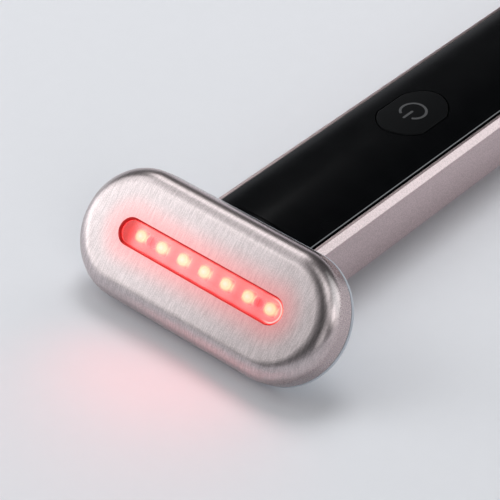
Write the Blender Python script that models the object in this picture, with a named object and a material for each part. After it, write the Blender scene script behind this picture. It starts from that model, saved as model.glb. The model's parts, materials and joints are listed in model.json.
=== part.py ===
"""Red light therapy wand: a tilted, pill-shaped light head that turns on a slim handle.

Metres, Z up. The wand lies on the flat land of its underside and on the lower edge of its head.
X runs across, Y runs from the head to the tail, and the origin is under the middle of the wand.
"""
import bmesh
import bpy
from math import asin, cos, pi, radians, sin, sqrt

# Whole wand
overall_length = 0.1500

# Clearances
fit_gap = 0.0003
film_gap = 0.0001
running_gap = 0.00008
seam = 0.0002
overrun = 0.0010
split_reach = 0.000002
crease_angle = radians(30)

# Head: shell, window and light
head_width = 0.0480
head_height = 0.0203
head_depth = 0.0061
head_wall = 0.0007
head_lean = radians(47.2)
shoulder_radius = 0.0030
rim_depth = 0.0008
rim_round = 0.0002
window_length = 0.0312
window_width = 0.0040
window_chamfer = 0.0002
window_recess = 0.00035
lens_flange_reach = 0.0013
lens_flange_depth = 0.0005
gasket_depth = 0.0003
gasket_inner_reach = 0.0004
led_count = 7
led_pitch = 0.00422
led_width = 0.0020
led_corner = 0.0002
led_body_depth = 0.00045
led_dome_rise = 0.00030
led_dome_radius = 0.00075
led_air = 0.00015
led_board_length = 0.0370
led_board_width = 0.0074
board_depth = 0.0008
cover_lip_wall = 0.0009
cover_lip_height = 0.0018

# Small screws
screw_shank_radius = 0.00045
screw_head_radius = 0.0009
screw_head_depth = 0.00045
screw_length = 0.0020
screw_slot_width = 0.00025
screw_slot_depth = 0.00020

# Swivel between head and handle
shaft_radius = 0.0020
shaft_bore_radius = 0.0011
shaft_front_length = 0.0006
neck_radius = 0.0032
neck_reach = 0.0040
bushing_wall = 0.0007
bushing_flange_depth = 0.0006
nose_radius = 0.0052
nose_ring_wall = 0.0007
swing_gap = 0.0006
bearing_length = 0.0066
washer_depth = 0.00025
washer_wave = 0.00020
washer_wall = 0.0006
washer_waves = 3
collar_radius = 0.0028
collar_depth = 0.0010
stop_tab_reach = 0.0011
stop_tab_width = 0.0012
clip_depth = 0.0005
clip_wall = 0.0009
clip_groove_depth = 0.0004
clip_mouth = radians(70)
shaft_tail_length = 0.0008

# Handle: housing section
handle_width = 0.0211
lip_rise = 0.00375
chamfer = 0.00094
lip = 0.00046
belly_drop = 0.0022
land_width = 0.0084
housing_wall = 0.0012
ledge_drop = 0.0018
ledge_depth = 0.0010
ledge_reach = 0.0010

# Handle: black front panel and button
panel_gap = 0.0003
panel_stand = 0.0003
panel_crown = 0.00166
panel_wall = 0.0012
button_distance = 0.0452
button_length = 0.0131
button_width = 0.0089
button_round_width = 0.0100
button_gap = 0.0002
button_stand = 0.0001
button_edge = 0.0002
button_travel = 0.0004
button_flange_reach = 0.0007
button_flange_depth = 0.0007
button_boss_radius = 0.0016

# Handle: ends
front_cap_depth = 0.0016
cap_edge = 0.0003
tail_cap_length = 0.0090
tail_wall = 0.0016
tail_round = 0.0026
tail_floor_wall = 0.0022
tongue_length = 0.0030
tongue_wall = 0.0008
tongue_height = 0.0040

# Inside the handle
battery_width = 0.0130
battery_length = 0.0500
battery_round = 0.0008
pad_width = 0.0084
pad_depth = 0.0006
board_width = 0.0148
board_front = 0.0290
board_inset = 0.0018
board_corner = 0.0008
board_drop = 0.00456
battery_front = 0.0350
block_screw_side = 0.0056
block_screw_seat = 0.0031
post_radius = 0.0015
post_inset = 0.0050
front_post_distance = 0.0025
rear_post_distance = 0.0160
switch_width = 0.0046
switch_height = 0.0019
switch_corner = 0.0003
stem_radius = 0.0009
stem_depth_in_switch = 0.0009
stem_height = 0.0006
usb_width = 0.0089
usb_height = 0.0032
usb_length = 0.0074
usb_wall = 0.0003
usb_back_wall = 0.0008
usb_setback = 0.0008
usb_tongue_width = 0.0066
usb_tongue_depth = 0.0007
usb_tongue_gap = 0.0010
port_margin = 0.0003

# Vibration motor
motor_lead_air = 0.0004
motor_length = 0.0080
motor_shaft_radius = 0.0004
motor_shaft_hole_depth = 0.0020
weight_inset = 0.0003
weight_length = 0.0026
weight_hub_radius = 0.0008
motor_air = 0.0005
motor_front = 0.0178
saddle_length = 0.0060
saddle_width = 0.0066
saddle_floor = 0.0006
saddle_side_height = 0.0006

# Leads
lead_radius = 0.0007
thin_lead_radius = 0.0005
lead_slack = 0.0050
lead_landing = 0.0040
riser_run = 0.0040
battery_lead_side = 0.0030

# Counts of steps in round stretches
end_steps = 18
shoulder_steps = 7
crown_steps = 16
belly_steps = 5
turned_steps = 36
small_steps = 14
corner_steps = 4
dome_steps = 3
lead_steps = 8

# Worked out from the sizes above: head
head_round = head_height / 2
face_inside = head_depth - head_wall
gasket_top = face_inside - film_gap
lens_flange_top = gasket_top - gasket_depth - film_gap
lens_bottom = lens_flange_top - lens_flange_depth
led_bottom = lens_bottom - led_air - led_dome_rise - led_body_depth
led_board_top = led_bottom - film_gap
led_board_bottom = led_board_top - board_depth
carrier_floor = led_board_bottom - film_gap
carrier_bottom = rim_depth + fit_gap

# Worked out: where the head meets the handle's axis
axis_height = head_round * sin(head_lean) - rim_round * cos(head_lean)
front_reach = (
    (head_round - shoulder_radius) * cos(head_lean)
    + (head_depth - shoulder_radius) * sin(head_lean)
    + shoulder_radius
)
pivot_y = front_reach - overall_length / 2
handle_front_y = pivot_y + head_round * cos(head_lean) + swing_gap
handle_length = overall_length / 2 - handle_front_y
nose_length = handle_front_y - pivot_y - neck_reach - bushing_flange_depth - 2 * fit_gap

# Worked out: handle section, x across and z up
half_handle = handle_width / 2
lip_height = axis_height + lip_rise
side_top = lip_height - chamfer
pocket_half = half_handle - chamfer - lip
panel_half = pocket_half - panel_gap
panel_edge_height = lip_height + panel_stand
crown_height = panel_edge_height + panel_crown
crown_radius = (panel_half ** 2 + panel_crown ** 2) / (2 * panel_crown)
crown_centre = crown_height - crown_radius
arch_radius = crown_radius - panel_wall
ledge_top = lip_height - ledge_drop
ledge_bottom = ledge_top - ledge_depth
inner_half = half_handle - housing_wall
belly_run = half_handle - land_width / 2
belly_radius = (belly_run ** 2 + belly_drop ** 2) / (2 * belly_drop)
housing_start = front_cap_depth + seam
housing_end = handle_length - tail_cap_length - seam

# Worked out: swivel, measured along the handle from its front
bushing_radius = shaft_radius + running_gap + bushing_wall
bushing_front = -nose_length - fit_gap - bushing_flange_depth
block_front = housing_start + fit_gap
block_back = block_front + bearing_length
washer_start = block_back + fit_gap
collar_front = washer_start + washer_depth + 2 * washer_wave + fit_gap
clip_front = collar_front + collar_depth + film_gap
shaft_end = clip_front + clip_depth + film_gap + shaft_tail_length
shelf_back = shaft_end

# Worked out: what lies in the handle, heights from the floor
pad_bottom = housing_wall + fit_gap
battery_bottom = pad_bottom + pad_depth + film_gap
board_top = lip_height - board_drop
board_bottom = board_top - board_depth
battery_depth = board_bottom - fit_gap - battery_bottom
board_end = handle_length - tail_wall - board_inset
button_y = pivot_y + button_distance - handle_front_y
stem_top = board_top + film_gap + switch_height + stem_height
usb_bottom = board_top + film_gap
usb_middle = usb_bottom + usb_height / 2
usb_end = handle_length - usb_setback
motor_bottom = housing_wall + fit_gap + saddle_floor + film_gap
motor_radius = (axis_height - lead_radius - motor_lead_air - motor_bottom) / 2
motor_height = motor_bottom + motor_radius
weight_radius = motor_radius - weight_inset


def clear_scene():
    for thing in list(bpy.data.objects):
        bpy.data.objects.remove(thing, do_unlink=True)


def make_material(name, colour, roughness, metallic=0.0):
    material = bpy.data.materials.new(name)
    material.use_nodes = True
    shader = material.node_tree.nodes["Principled BSDF"]
    shader.inputs["Base Color"].default_value = (*colour, 1.0)
    shader.inputs["Roughness"].default_value = roughness
    shader.inputs["Metallic"].default_value = metallic
    material.diffuse_color = (*colour, 1.0)
    return material


def make_frame(name, place, parent=None, lean=0.0):
    frame = bpy.data.objects.new(name, None)
    bpy.context.scene.collection.objects.link(frame)
    frame.parent = parent
    frame.location = place
    frame.rotation_euler = (lean, 0.0, 0.0)
    return frame


# Outlines, as lists of two numbers

def circle(radius, steps=turned_steps, middle=(0.0, 0.0), first=0.0):
    turns = [first + 2 * pi * step / steps for step in range(steps)]
    return [(middle[0] + radius * cos(turn), middle[1] + radius * sin(turn)) for turn in turns]


def stadium(length, width, steps=end_steps):
    run = (length - width) / 2
    radius = width / 2
    right = [-pi / 2 + pi * step / steps for step in range(steps + 1)]
    left = [pi / 2 + pi * step / steps for step in range(steps + 1)]
    points = [(run + radius * cos(turn), radius * sin(turn)) for turn in right]
    points += [(-run + radius * cos(turn), radius * sin(turn)) for turn in left]
    return points


def rectangle(half_width, low, high):
    return [(-half_width, low), (half_width, low), (half_width, high), (-half_width, high)]


def rounded_rectangle(width, length, radius):
    corners = [(1, 1, 0), (-1, 1, 1), (-1, -1, 2), (1, -1, 3)]
    points = []
    for side, end, quarter in corners:
        middle_x = side * (width / 2 - radius)
        middle_y = end * (length / 2 - radius)
        for step in range(corner_steps + 1):
            turn = pi / 2 * (quarter + step / corner_steps)
            points.append((middle_x + radius * cos(turn), middle_y + radius * sin(turn)))
    return points


def shifted(outline, across=0.0, along=0.0):
    return [(x + across, y + along) for x, y in outline]


def mirrored(right_half):
    return right_half + [(-x, z) for x, z in reversed(right_half)]


def crown_at(x):
    return crown_centre + sqrt(crown_radius ** 2 - x ** 2)


def arch_at(x):
    return crown_centre + sqrt(arch_radius ** 2 - x ** 2)


def crown_stations(half):
    full_turn = asin(half / crown_radius)
    half_steps = crown_steps // 2
    return [crown_radius * sin(full_turn * step / half_steps) for step in range(half_steps, 0, -1)]


def belly(inset):
    """Underside from the land's edge to the side, as a round stretch set in by a wall."""
    radius = belly_radius - inset
    full_turn = asin((belly_run - inset) / radius)
    turns = [full_turn * step / belly_steps for step in range(belly_steps + 1)]
    middle = land_width / 2
    return [(middle + radius * sin(turn), belly_radius - radius * cos(turn)) for turn in turns]


def with_top(right_half, height):
    return right_half + [(0.0, height)] + [(-x, z) for x, z in reversed(right_half)]


def handle_outline():
    """Whole section of the handle with the crowned panel's curve on top."""
    right = belly(0.0)
    right += [(half_handle, side_top), (half_handle - chamfer, lip_height)]
    right += [(pocket_half, lip_height)]
    right += [(x, crown_at(x)) for x in crown_stations(panel_half)]
    return with_top(right, crown_height)


def button_outline(reach):
    """Oval with two straight edges along the handle, grown outwards by a reach."""
    half_width = button_width / 2 + reach
    half_round = button_round_width / 2 + reach
    half_length = button_length / 2 + reach
    first = pi / 2 - asin(half_width / half_round)
    span = pi - 2 * first
    points = []
    for start in (first, pi + first):
        for step in range(end_steps + 1):
            turn = start + span * step / end_steps
            points.append((half_round * cos(turn), half_length * sin(turn)))
    return points


# Rings of points in space

def flat_ring(outline, height):
    return [(x, y, height) for x, y in outline]


def upright_ring(outline, along):
    return [(x, along, z) for x, z in outline]


# Solids

def loft(bm, rings, looped=False):
    """Skin rings of equally many points; the ends are closed, or joined to each other."""
    loops = [[bm.verts.new(point) for point in ring] for ring in rings]
    pairs = list(zip(loops, loops[1:]))
    if looped:
        pairs.append((loops[-1], loops[0]))
    else:
        bm.faces.new(loops[0])
        bm.faces.new(loops[-1])
    for low, high in pairs:
        for index in range(len(low)):
            bm.faces.new((low[index], low[index - 1], high[index - 1], high[index]))


def add_object(name, bm, material, parent):
    bmesh.ops.recalc_face_normals(bm, faces=bm.faces)
    mesh = bpy.data.meshes.new(name)
    bm.to_mesh(mesh)
    bm.free()
    mesh.shade_smooth()
    mesh.set_sharp_from_angle(angle=crease_angle)
    thing = bpy.data.objects.new(name, mesh)
    bpy.context.scene.collection.objects.link(thing)
    thing.parent = parent
    if material:
        mesh.materials.append(material)
    return thing


def solid(name, rings, material, parent, looped=False):
    bm = bmesh.new()
    loft(bm, rings, looped)
    return add_object(name, bm, material, parent)


def tool(name, rings, parent, looped=False):
    """A solid that only cuts or joins another one."""
    thing = solid(name, rings, None, parent, looped)
    thing.hide_render = True
    thing.display_type = "WIRE"
    return thing


def combine(thing, other, operation="DIFFERENCE"):
    change = thing.modifiers.new(other.name, "BOOLEAN")
    change.operation = operation
    change.solver = "EXACT"
    change.object = other


def turned(profile, steps=turned_steps, middle=(0.0, 0.0)):
    """Rings of a turned shape along Y from pairs of radius and place."""
    return [upright_ring(circle(radius, steps, middle), along) for radius, along in profile]


def tube(outer, inner, start, end):
    return [(outer, start), (outer, end), (inner, end), (inner, start)]


def screw(name, place, material, parent):
    """Small slotted screw, placed by the underside of its head, with a plain shank below."""
    shank = circle(screw_shank_radius, small_steps)
    head = circle(screw_head_radius, small_steps)
    rings = [
        flat_ring(shank, -screw_length),
        flat_ring(shank, 0.0),
        flat_ring(head, 0.0),
        flat_ring(head, screw_head_depth),
    ]
    thing = solid(name, rings, material, parent)
    thing.location = place
    slot_low = screw_head_depth - screw_slot_depth
    slot_section = rectangle(screw_slot_width / 2, slot_low, screw_head_depth + overrun)
    reach = screw_head_radius + overrun
    slot_rings = [upright_ring(slot_section, -reach), upright_ring(slot_section, reach)]
    slot = tool(name + "_slot", slot_rings, parent)
    slot.location = place
    combine(thing, slot)


def lead(name, points, radius, material, parent):
    """Round lead through its points, with closed ends."""
    curve = bpy.data.curves.new(name, "CURVE")
    curve.dimensions = "3D"
    curve.bevel_depth = radius
    curve.bevel_resolution = 2
    curve.use_fill_caps = True
    spline = curve.splines.new("POLY")
    spline.points.add(len(points) - 1)
    for spot, point in zip(spline.points, points):
        spot.co = (*point, 1.0)
    thing = bpy.data.objects.new(name, curve)
    bpy.context.scene.collection.objects.link(thing)
    thing.parent = parent
    curve.materials.append(material)
    return thing


def smooth_route(start, start_pull, end_pull, end):
    """Points of a smooth curve that leaves start towards start_pull and ends from end_pull."""
    points = []
    for step in range(lead_steps + 1):
        t = step / lead_steps
        weights = ((1 - t) ** 3, 3 * t * (1 - t) ** 2, 3 * t * t * (1 - t), t ** 3)
        corners = (start, start_pull, end_pull, end)
        points.append(tuple(sum(w * c[axis] for w, c in zip(weights, corners)) for axis in range(3)))
    return points


# Head pieces, in the head's own frame: z out of the face, y up the plate

def shoulder_rings(radius, inset, rear, face):
    rings = [flat_ring(stadium(head_width - 2 * inset, head_height - 2 * inset), rear)]
    for step in range(shoulder_steps + 1):
        turn = pi / 2 * step / shoulder_steps
        inward = inset + radius * (1 - cos(turn))
        outline = stadium(head_width - 2 * inward, head_height - 2 * inward)
        rings.append(flat_ring(outline, face - radius * (1 - sin(turn))))
    return rings


def build_head_shell(frame, material):
    rear = rim_depth + seam
    outside = shoulder_rings(shoulder_radius, 0.0, rear, head_depth)
    inside = shoulder_rings(shoulder_radius - head_wall, head_wall, rear, face_inside)
    shell = solid("head_shell", inside[::-1] + outside, material, frame)
    slot = stadium(window_length, window_width)
    flare = stadium(window_length + 2 * window_chamfer, window_width + 2 * window_chamfer)
    rings = [
        flat_ring(slot, face_inside - overrun),
        flat_ring(slot, head_depth - window_chamfer),
        flat_ring(flare, head_depth),
        flat_ring(flare, head_depth + overrun),
    ]
    combine(shell, tool("window_slot", rings, frame))


def build_window(frame, lens_material, gasket_material):
    flange = stadium(window_length + 2 * lens_flange_reach, window_width + 2 * lens_flange_reach)
    bar = stadium(window_length - 2 * film_gap, window_width - 2 * film_gap)
    rings = [
        flat_ring(flange, lens_bottom),
        flat_ring(flange, lens_flange_top),
        flat_ring(bar, lens_flange_top),
        flat_ring(bar, head_depth - window_recess),
    ]
    solid("window_lens", rings, lens_material, frame)
    hole = stadium(window_length + 2 * gasket_inner_reach, window_width + 2 * gasket_inner_reach)
    rings = [
        flat_ring(flange, gasket_top - gasket_depth),
        flat_ring(flange, gasket_top),
        flat_ring(hole, gasket_top),
        flat_ring(hole, gasket_top - gasket_depth),
    ]
    solid("lens_gasket", rings, gasket_material, frame, looped=True)


def led_places():
    middle = (led_count - 1) / 2
    return [(number - middle) * led_pitch for number in range(led_count)]


def led_screw_places():
    places = led_places()
    return [(places[0] + places[1]) / 2, (places[-1] + places[-2]) / 2]


def build_leds(frame, material):
    body_top = led_bottom + led_body_depth
    square = rounded_rectangle(led_width, led_width, led_corner)
    corner_points = len(square)
    first = pi / 4 - pi * corner_steps / corner_points
    dome = circle(led_dome_radius, corner_points, first=first)
    for number, place in enumerate(led_places(), start=1):
        rings = [flat_ring(square, led_bottom), flat_ring(square, body_top)]
        for step in range(dome_steps):
            turn = pi / 2 * step / dome_steps
            outline = [(x * cos(turn), y * cos(turn)) for x, y in dome]
            rings.append(flat_ring(outline, body_top + led_dome_rise * sin(turn)))
        led = solid("led_" + str(number), rings, material, frame)
        led.location = (place, 0.0, 0.0)


def build_led_board(frame, board_material, carrier_material, screw_material):
    outline = stadium(led_board_length, led_board_width)
    board = solid(
        "led_board",
        [flat_ring(outline, led_board_bottom), flat_ring(outline, led_board_top)],
        board_material,
        frame,
    )
    carrier_outline = stadium(head_width - 2 * shoulder_radius, head_height - 2 * shoulder_radius)
    rings = [
        flat_ring(carrier_outline, carrier_bottom),
        flat_ring(carrier_outline, face_inside - fit_gap),
    ]
    carrier = solid("board_carrier", rings, carrier_material, frame)
    pocket = stadium(led_board_length + 2 * fit_gap, led_board_width + 2 * fit_gap)
    combine(carrier, tool(
        "carrier_pocket",
        [flat_ring(pocket, carrier_floor), flat_ring(pocket, face_inside + overrun)],
        frame,
    ))
    combine(carrier, neck_tool("carrier_neck_hole", frame, neck_radius + fit_gap))
    for number, place in enumerate(led_screw_places(), start=1):
        name = "led_board_screw_" + str(number)
        screw(name, (place, 0.0, led_board_top + film_gap), screw_material, frame)
        drill = screw_drill(name + "_hole", (place, 0.0), 0.0, head_depth, frame)
        combine(board, drill)
        combine(carrier, drill)


def neck_tool(name, frame, radius, start=-head_depth, end=head_depth):
    """Round bar on the swivel's axis, seen from the leaning head."""
    bar = tool(name, turned([(radius, start), (radius, end)]), frame)
    bar.rotation_euler = (-head_lean, 0.0, 0.0)
    return bar


def build_back_cover(frame, material):
    outline = stadium(head_width, head_height)
    rear = stadium(head_width - 2 * rim_round, head_height - 2 * rim_round)
    lip_inset = head_wall + fit_gap
    lip_outer = stadium(head_width - 2 * lip_inset, head_height - 2 * lip_inset)
    lip_in = lip_inset + cover_lip_wall
    lip_inner = stadium(head_width - 2 * lip_in, head_height - 2 * lip_in)
    lip_top = rim_depth + cover_lip_height
    rings = [
        flat_ring(rear, 0.0),
        flat_ring(outline, rim_round),
        flat_ring(outline, rim_depth),
        flat_ring(lip_outer, rim_depth),
        flat_ring(lip_outer, lip_top),
        flat_ring(lip_inner, lip_top),
        flat_ring(lip_inner, rim_depth),
    ]
    cover = solid("back_cover", rings, material, frame)
    neck = neck_tool("neck", frame, neck_radius, -head_depth, neck_reach)
    ceiling = led_board_bottom - fit_gap
    wide = stadium(head_width, head_height)
    combine(neck, tool(
        "neck_trim",
        [flat_ring(wide, ceiling), flat_ring(wide, ceiling + head_height)],
        frame,
    ))
    combine(cover, neck, "UNION")
    combine(cover, neck_tool(
        "neck_bore", frame, shaft_radius + film_gap, -head_depth, neck_reach + overrun))


# Swivel, in a frame on its axis at the handle's front, y towards the tail

def build_shaft(frame, steel, collar_material):
    pivot_back = handle_front_y - pivot_y
    start = -pivot_back - shaft_front_length
    groove_start = clip_front - film_gap
    groove_end = clip_front + clip_depth + film_gap
    groove_radius = shaft_radius - clip_groove_depth
    profile = [
        (shaft_bore_radius, start),
        (shaft_radius, start),
        (shaft_radius, groove_start),
        (groove_radius, groove_start),
        (groove_radius, groove_end),
        (shaft_radius, groove_end),
        (shaft_radius, shaft_end),
        (shaft_bore_radius, shaft_end),
    ]
    solid("swivel_shaft", turned(profile), steel, frame, looped=True)
    build_collar(frame, collar_material)
    build_clip(frame, steel, groove_radius + film_gap)


def build_collar(frame, material):
    bore = shaft_radius + film_gap
    rings = turned(tube(collar_radius, bore, collar_front, collar_front + collar_depth))
    collar = solid("stop_collar", rings, material, frame, looped=True)
    tab = rectangle(stop_tab_width / 2, (bore + collar_radius) / 2, collar_radius + stop_tab_reach)
    tab_rings = [
        upright_ring(tab, collar_front),
        upright_ring(tab, collar_front + collar_depth),
    ]
    combine(collar, tool("stop_tab", tab_rings, frame), "UNION")


def build_clip(frame, material, inner_radius):
    outer_radius = shaft_radius + clip_wall
    first = -pi / 2 + clip_mouth / 2
    span = 2 * pi - clip_mouth
    turns = [first + span * step / turned_steps for step in range(turned_steps + 1)]
    outline = [(outer_radius * cos(turn), outer_radius * sin(turn)) for turn in turns]
    outline += [(inner_radius * cos(turn), inner_radius * sin(turn)) for turn in reversed(turns)]
    rings = [upright_ring(outline, clip_front), upright_ring(outline, clip_front + clip_depth)]
    solid("retaining_clip", rings, material, frame)


def build_washer(frame, material):
    """Spring washer whose ring rises and falls around the shaft."""
    inner = shaft_radius + fit_gap
    outer = inner + washer_wall
    rings = []
    for step in range(turned_steps):
        turn = 2 * pi * step / turned_steps
        middle = washer_start + washer_wave * (1 + cos(washer_waves * turn))
        back = middle + washer_depth
        section = ((inner, middle), (outer, middle), (outer, back), (inner, back))
        rings.append([(radius * cos(turn), along, radius * sin(turn)) for radius, along in section])
    solid("wave_washer", rings, material, frame, looped=True)


def build_bushing(frame, material):
    inner = shaft_radius + running_gap
    flange_back = bushing_front + bushing_flange_depth
    profile = [
        (inner, bushing_front),
        (neck_radius, bushing_front),
        (neck_radius, flange_back),
        (bushing_radius, flange_back),
        (bushing_radius, block_back - film_gap),
        (inner, block_back - film_gap),
    ]
    solid("swivel_bushing", turned(profile), material, frame, looped=True)


def drawn_in_ring(inset, along):
    """Handle section drawn in towards its middle by an inset at its sides, top and bottom."""
    middle = crown_height / 2
    width_share = 1 - inset / half_handle
    height_share = 1 - inset / middle
    return [(x * width_share, along, middle + (z - middle) * height_share) for x, z in handle_outline()]


def build_front_cap(frame, axis_frame, material):
    rings = [
        drawn_in_ring(cap_edge, 0.0),
        drawn_in_ring(0.0, cap_edge),
        drawn_in_ring(0.0, front_cap_depth),
    ]
    cap = solid("front_cap", rings, material, frame)
    nose_tip = bushing_radius + film_gap + nose_ring_wall
    nose_profile = [(nose_tip, -nose_length), (nose_radius, 0.0), (nose_radius, front_cap_depth / 2)]
    combine(cap, tool("nose", turned(nose_profile), axis_frame), "UNION")
    bore = bushing_radius + film_gap
    bore_profile = [(bore, -nose_length - overrun), (bore, front_cap_depth + overrun)]
    combine(cap, tool("nose_bore", turned(bore_profile), axis_frame))


def build_swivel_block(frame, axis_frame, material, screw_material):
    """Bearing block with a shelf behind it, whose top stops the collar's tab."""
    foot_half = land_width / 2 + fit_gap
    waist = ledge_bottom - fit_gap
    side = inner_half - fit_gap
    shoulder_half = panel_half - panel_wall - fit_gap
    roof_half = bushing_radius + panel_wall
    roof = arch_at(roof_half) - fit_gap
    shoulder_height = ledge_top + fit_gap
    low_side = housing_wall + belly_drop
    right = [
        (foot_half, housing_wall + fit_gap),
        (side, low_side),
        (side, waist),
        (shoulder_half - ledge_reach, waist + fit_gap),
        (shoulder_half - ledge_reach, shoulder_height),
        (roof_half, roof),
    ]
    section = mirrored(right)
    rings = [upright_ring(section, block_front), upright_ring(section, block_back)]
    block = solid("swivel_block", rings, material, frame)
    shelf_top = axis_height - stop_tab_width / 2 - fit_gap
    shelf_right = [(foot_half, housing_wall + fit_gap), (side, low_side), (side, shelf_top)]
    shelf = mirrored(shelf_right)
    shelf_rings = [
        upright_ring(shelf, block_back - overrun),
        upright_ring(shelf, shelf_back),
    ]
    combine(block, tool("stop_shelf", shelf_rings, frame), "UNION")
    bore = bushing_radius + film_gap
    combine(block, tool(
        "block_bore", turned([(bore, 0.0), (bore, block_back + overrun)]), axis_frame))
    room = collar_radius + fit_gap
    combine(block, tool(
        "collar_room", turned([(room, block_back), (room, shelf_back + overrun)]), axis_frame))
    for number, (x, y) in enumerate(block_screw_places(), start=1):
        name = "block_screw_" + str(number)
        screw(name, (x, y, block_screw_seat + film_gap), screw_material, frame)
        sink = circle(screw_head_radius + fit_gap, small_steps, (x, y))
        combine(block, tool(
            name + "_sink", [flat_ring(sink, block_screw_seat), flat_ring(sink, ledge_bottom)], frame))
        combine(block, screw_drill(name + "_block_hole", (x, y), 0.0, axis_height, frame))


def block_screw_places():
    along = (block_back + shelf_back) / 2
    return [(block_screw_side, along), (-block_screw_side, along)]


def screw_drill(name, place, low, high, frame):
    hole = circle(screw_shank_radius + film_gap, small_steps, place)
    return tool(name, [flat_ring(hole, low), flat_ring(hole, high)], frame)


# Handle pieces, in the handle's frame: y from its front, z from the floor

def housing_outline():
    right = belly(0.0)
    right += [
        (half_handle, side_top),
        (half_handle - chamfer, lip_height),
        (pocket_half, lip_height),
        (pocket_half, ledge_top),
        (pocket_half - ledge_reach, ledge_top),
        (pocket_half - ledge_reach, ledge_bottom),
        (inner_half, ledge_bottom),
    ]
    right += belly(housing_wall)[::-1]
    return mirrored(right)


def post_places():
    side = board_width / 2 - post_inset / 2
    return [(side, board_front + front_post_distance), (-side, board_end - rear_post_distance)]


def build_housing(frame, material, screw_material):
    outline = housing_outline()
    rings = [upright_ring(outline, housing_start), upright_ring(outline, housing_end)]
    housing = solid("handle_housing", rings, material, frame)
    for number, (x, y) in enumerate(post_places(), start=1):
        post = circle(post_radius, small_steps, (x, y))
        post_rings = [flat_ring(post, housing_wall / 2), flat_ring(post, board_bottom - film_gap)]
        combine(housing, tool("board_post_" + str(number), post_rings, frame), "UNION")
        name = "main_board_screw_" + str(number)
        screw(name, (x, y, board_top + film_gap), screw_material, frame)
        hole_low = board_top - screw_length - fit_gap
        combine(housing, screw_drill(name + "_hole", (x, y), hole_low, board_top, frame))
    for number, place in enumerate(block_screw_places(), start=1):
        hole_low = block_screw_seat - screw_length - fit_gap
        name = "block_screw_hole_" + str(number)
        combine(housing, screw_drill(name, place, hole_low, board_top, frame))


def panel_outline():
    skirt_bottom = ledge_top + fit_gap
    stations = crown_stations(panel_half)
    right = [(panel_half, skirt_bottom)] + [(x, crown_at(x)) for x in stations]
    outside = with_top(right, crown_height)
    inner_side = panel_half - panel_wall
    inner_turn = asin(inner_side / arch_radius)
    half_steps = crown_steps // 2
    inside_right = [(inner_side, skirt_bottom)]
    for step in range(half_steps, 0, -1):
        x = arch_radius * sin(inner_turn * step / half_steps)
        inside_right.append((x, arch_at(x)))
    inside = with_top(inside_right, arch_at(0.0))
    return outside + inside[::-1]


def build_panel(frame, material):
    outline = panel_outline()
    rings = [upright_ring(outline, housing_start), upright_ring(outline, housing_end)]
    panel = solid("front_panel", rings, material, frame)
    hole = shifted(button_outline(button_gap), along=button_y)
    hole_rings = [flat_ring(hole, ledge_top), flat_ring(hole, crown_height + overrun)]
    combine(panel, tool("button_hole", hole_rings, frame))


def build_button(frame, material):
    """Key whose top follows the crown, with a flange that keeps it under the panel."""
    flange_half = button_width / 2 + button_flange_reach
    flange_top = arch_at(flange_half) - fit_gap
    flange_bottom = flange_top - button_flange_depth
    middle = (flange_top + crown_height) / 2
    key = button_outline(0.0)
    rings = [
        flat_ring(key, flange_top - button_flange_depth / 2),
        flat_ring(key, crown_height - button_edge),
        flat_ring(button_outline(-button_edge), crown_height),
    ]
    bm = bmesh.new()
    loft(bm, rings)
    stations = crown_stations(panel_half)
    for place in stations + [0.0] + [-x for x in stations]:
        geometry = bm.verts[:] + bm.edges[:] + bm.faces[:]
        bmesh.ops.bisect_plane(
            bm, geom=geometry, dist=split_reach, plane_co=(place, 0, 0), plane_no=(1, 0, 0))
    for vertex in bm.verts:
        if vertex.co.z > middle:
            vertex.co.z += crown_between(vertex.co.x) - crown_height + button_stand
    button = add_object("power_button", bm, material, frame)
    flange = button_outline(button_flange_reach)
    flange_rings = [flat_ring(flange, flange_bottom), flat_ring(flange, flange_top)]
    combine(button, tool("button_flange", flange_rings, frame), "UNION")
    boss = circle(button_boss_radius, small_steps)
    boss_rings = [
        flat_ring(boss, stem_top + film_gap),
        flat_ring(boss, flange_bottom + button_flange_depth / 2),
    ]
    combine(button, tool("button_boss", boss_rings, frame), "UNION")


def crown_between(x):
    """Height of the panel's faceted crown above a place across it."""
    stations = [0.0] + crown_stations(panel_half)[::-1]
    for near, far in zip(stations, stations[1:]):
        if abs(x) <= far:
            share = (abs(x) - near) / (far - near)
            return crown_at(near) + share * (crown_at(far) - crown_at(near))
    return panel_edge_height


def build_switch(frame, button_frame, body_material, stem_material):
    bottom = board_top + film_gap
    top = bottom + switch_height
    square = rounded_rectangle(switch_width, switch_width, switch_corner)
    square = shifted(square, along=button_y)
    rings = [flat_ring(square, bottom), flat_ring(square, top)]
    switch = solid("tact_switch", rings, body_material, frame)
    hole = circle(stem_radius + fit_gap / 2, small_steps, (0.0, button_y))
    hole_low = top - stem_depth_in_switch
    combine(switch, tool("stem_hole", [flat_ring(hole, hole_low), flat_ring(hole, top + overrun)], frame))
    stem = circle(stem_radius, small_steps)
    stem_low = hole_low + button_travel + film_gap
    stem_rings = [flat_ring(stem, stem_low), flat_ring(stem, stem_top)]
    solid("switch_stem", stem_rings, stem_material, button_frame)


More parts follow.
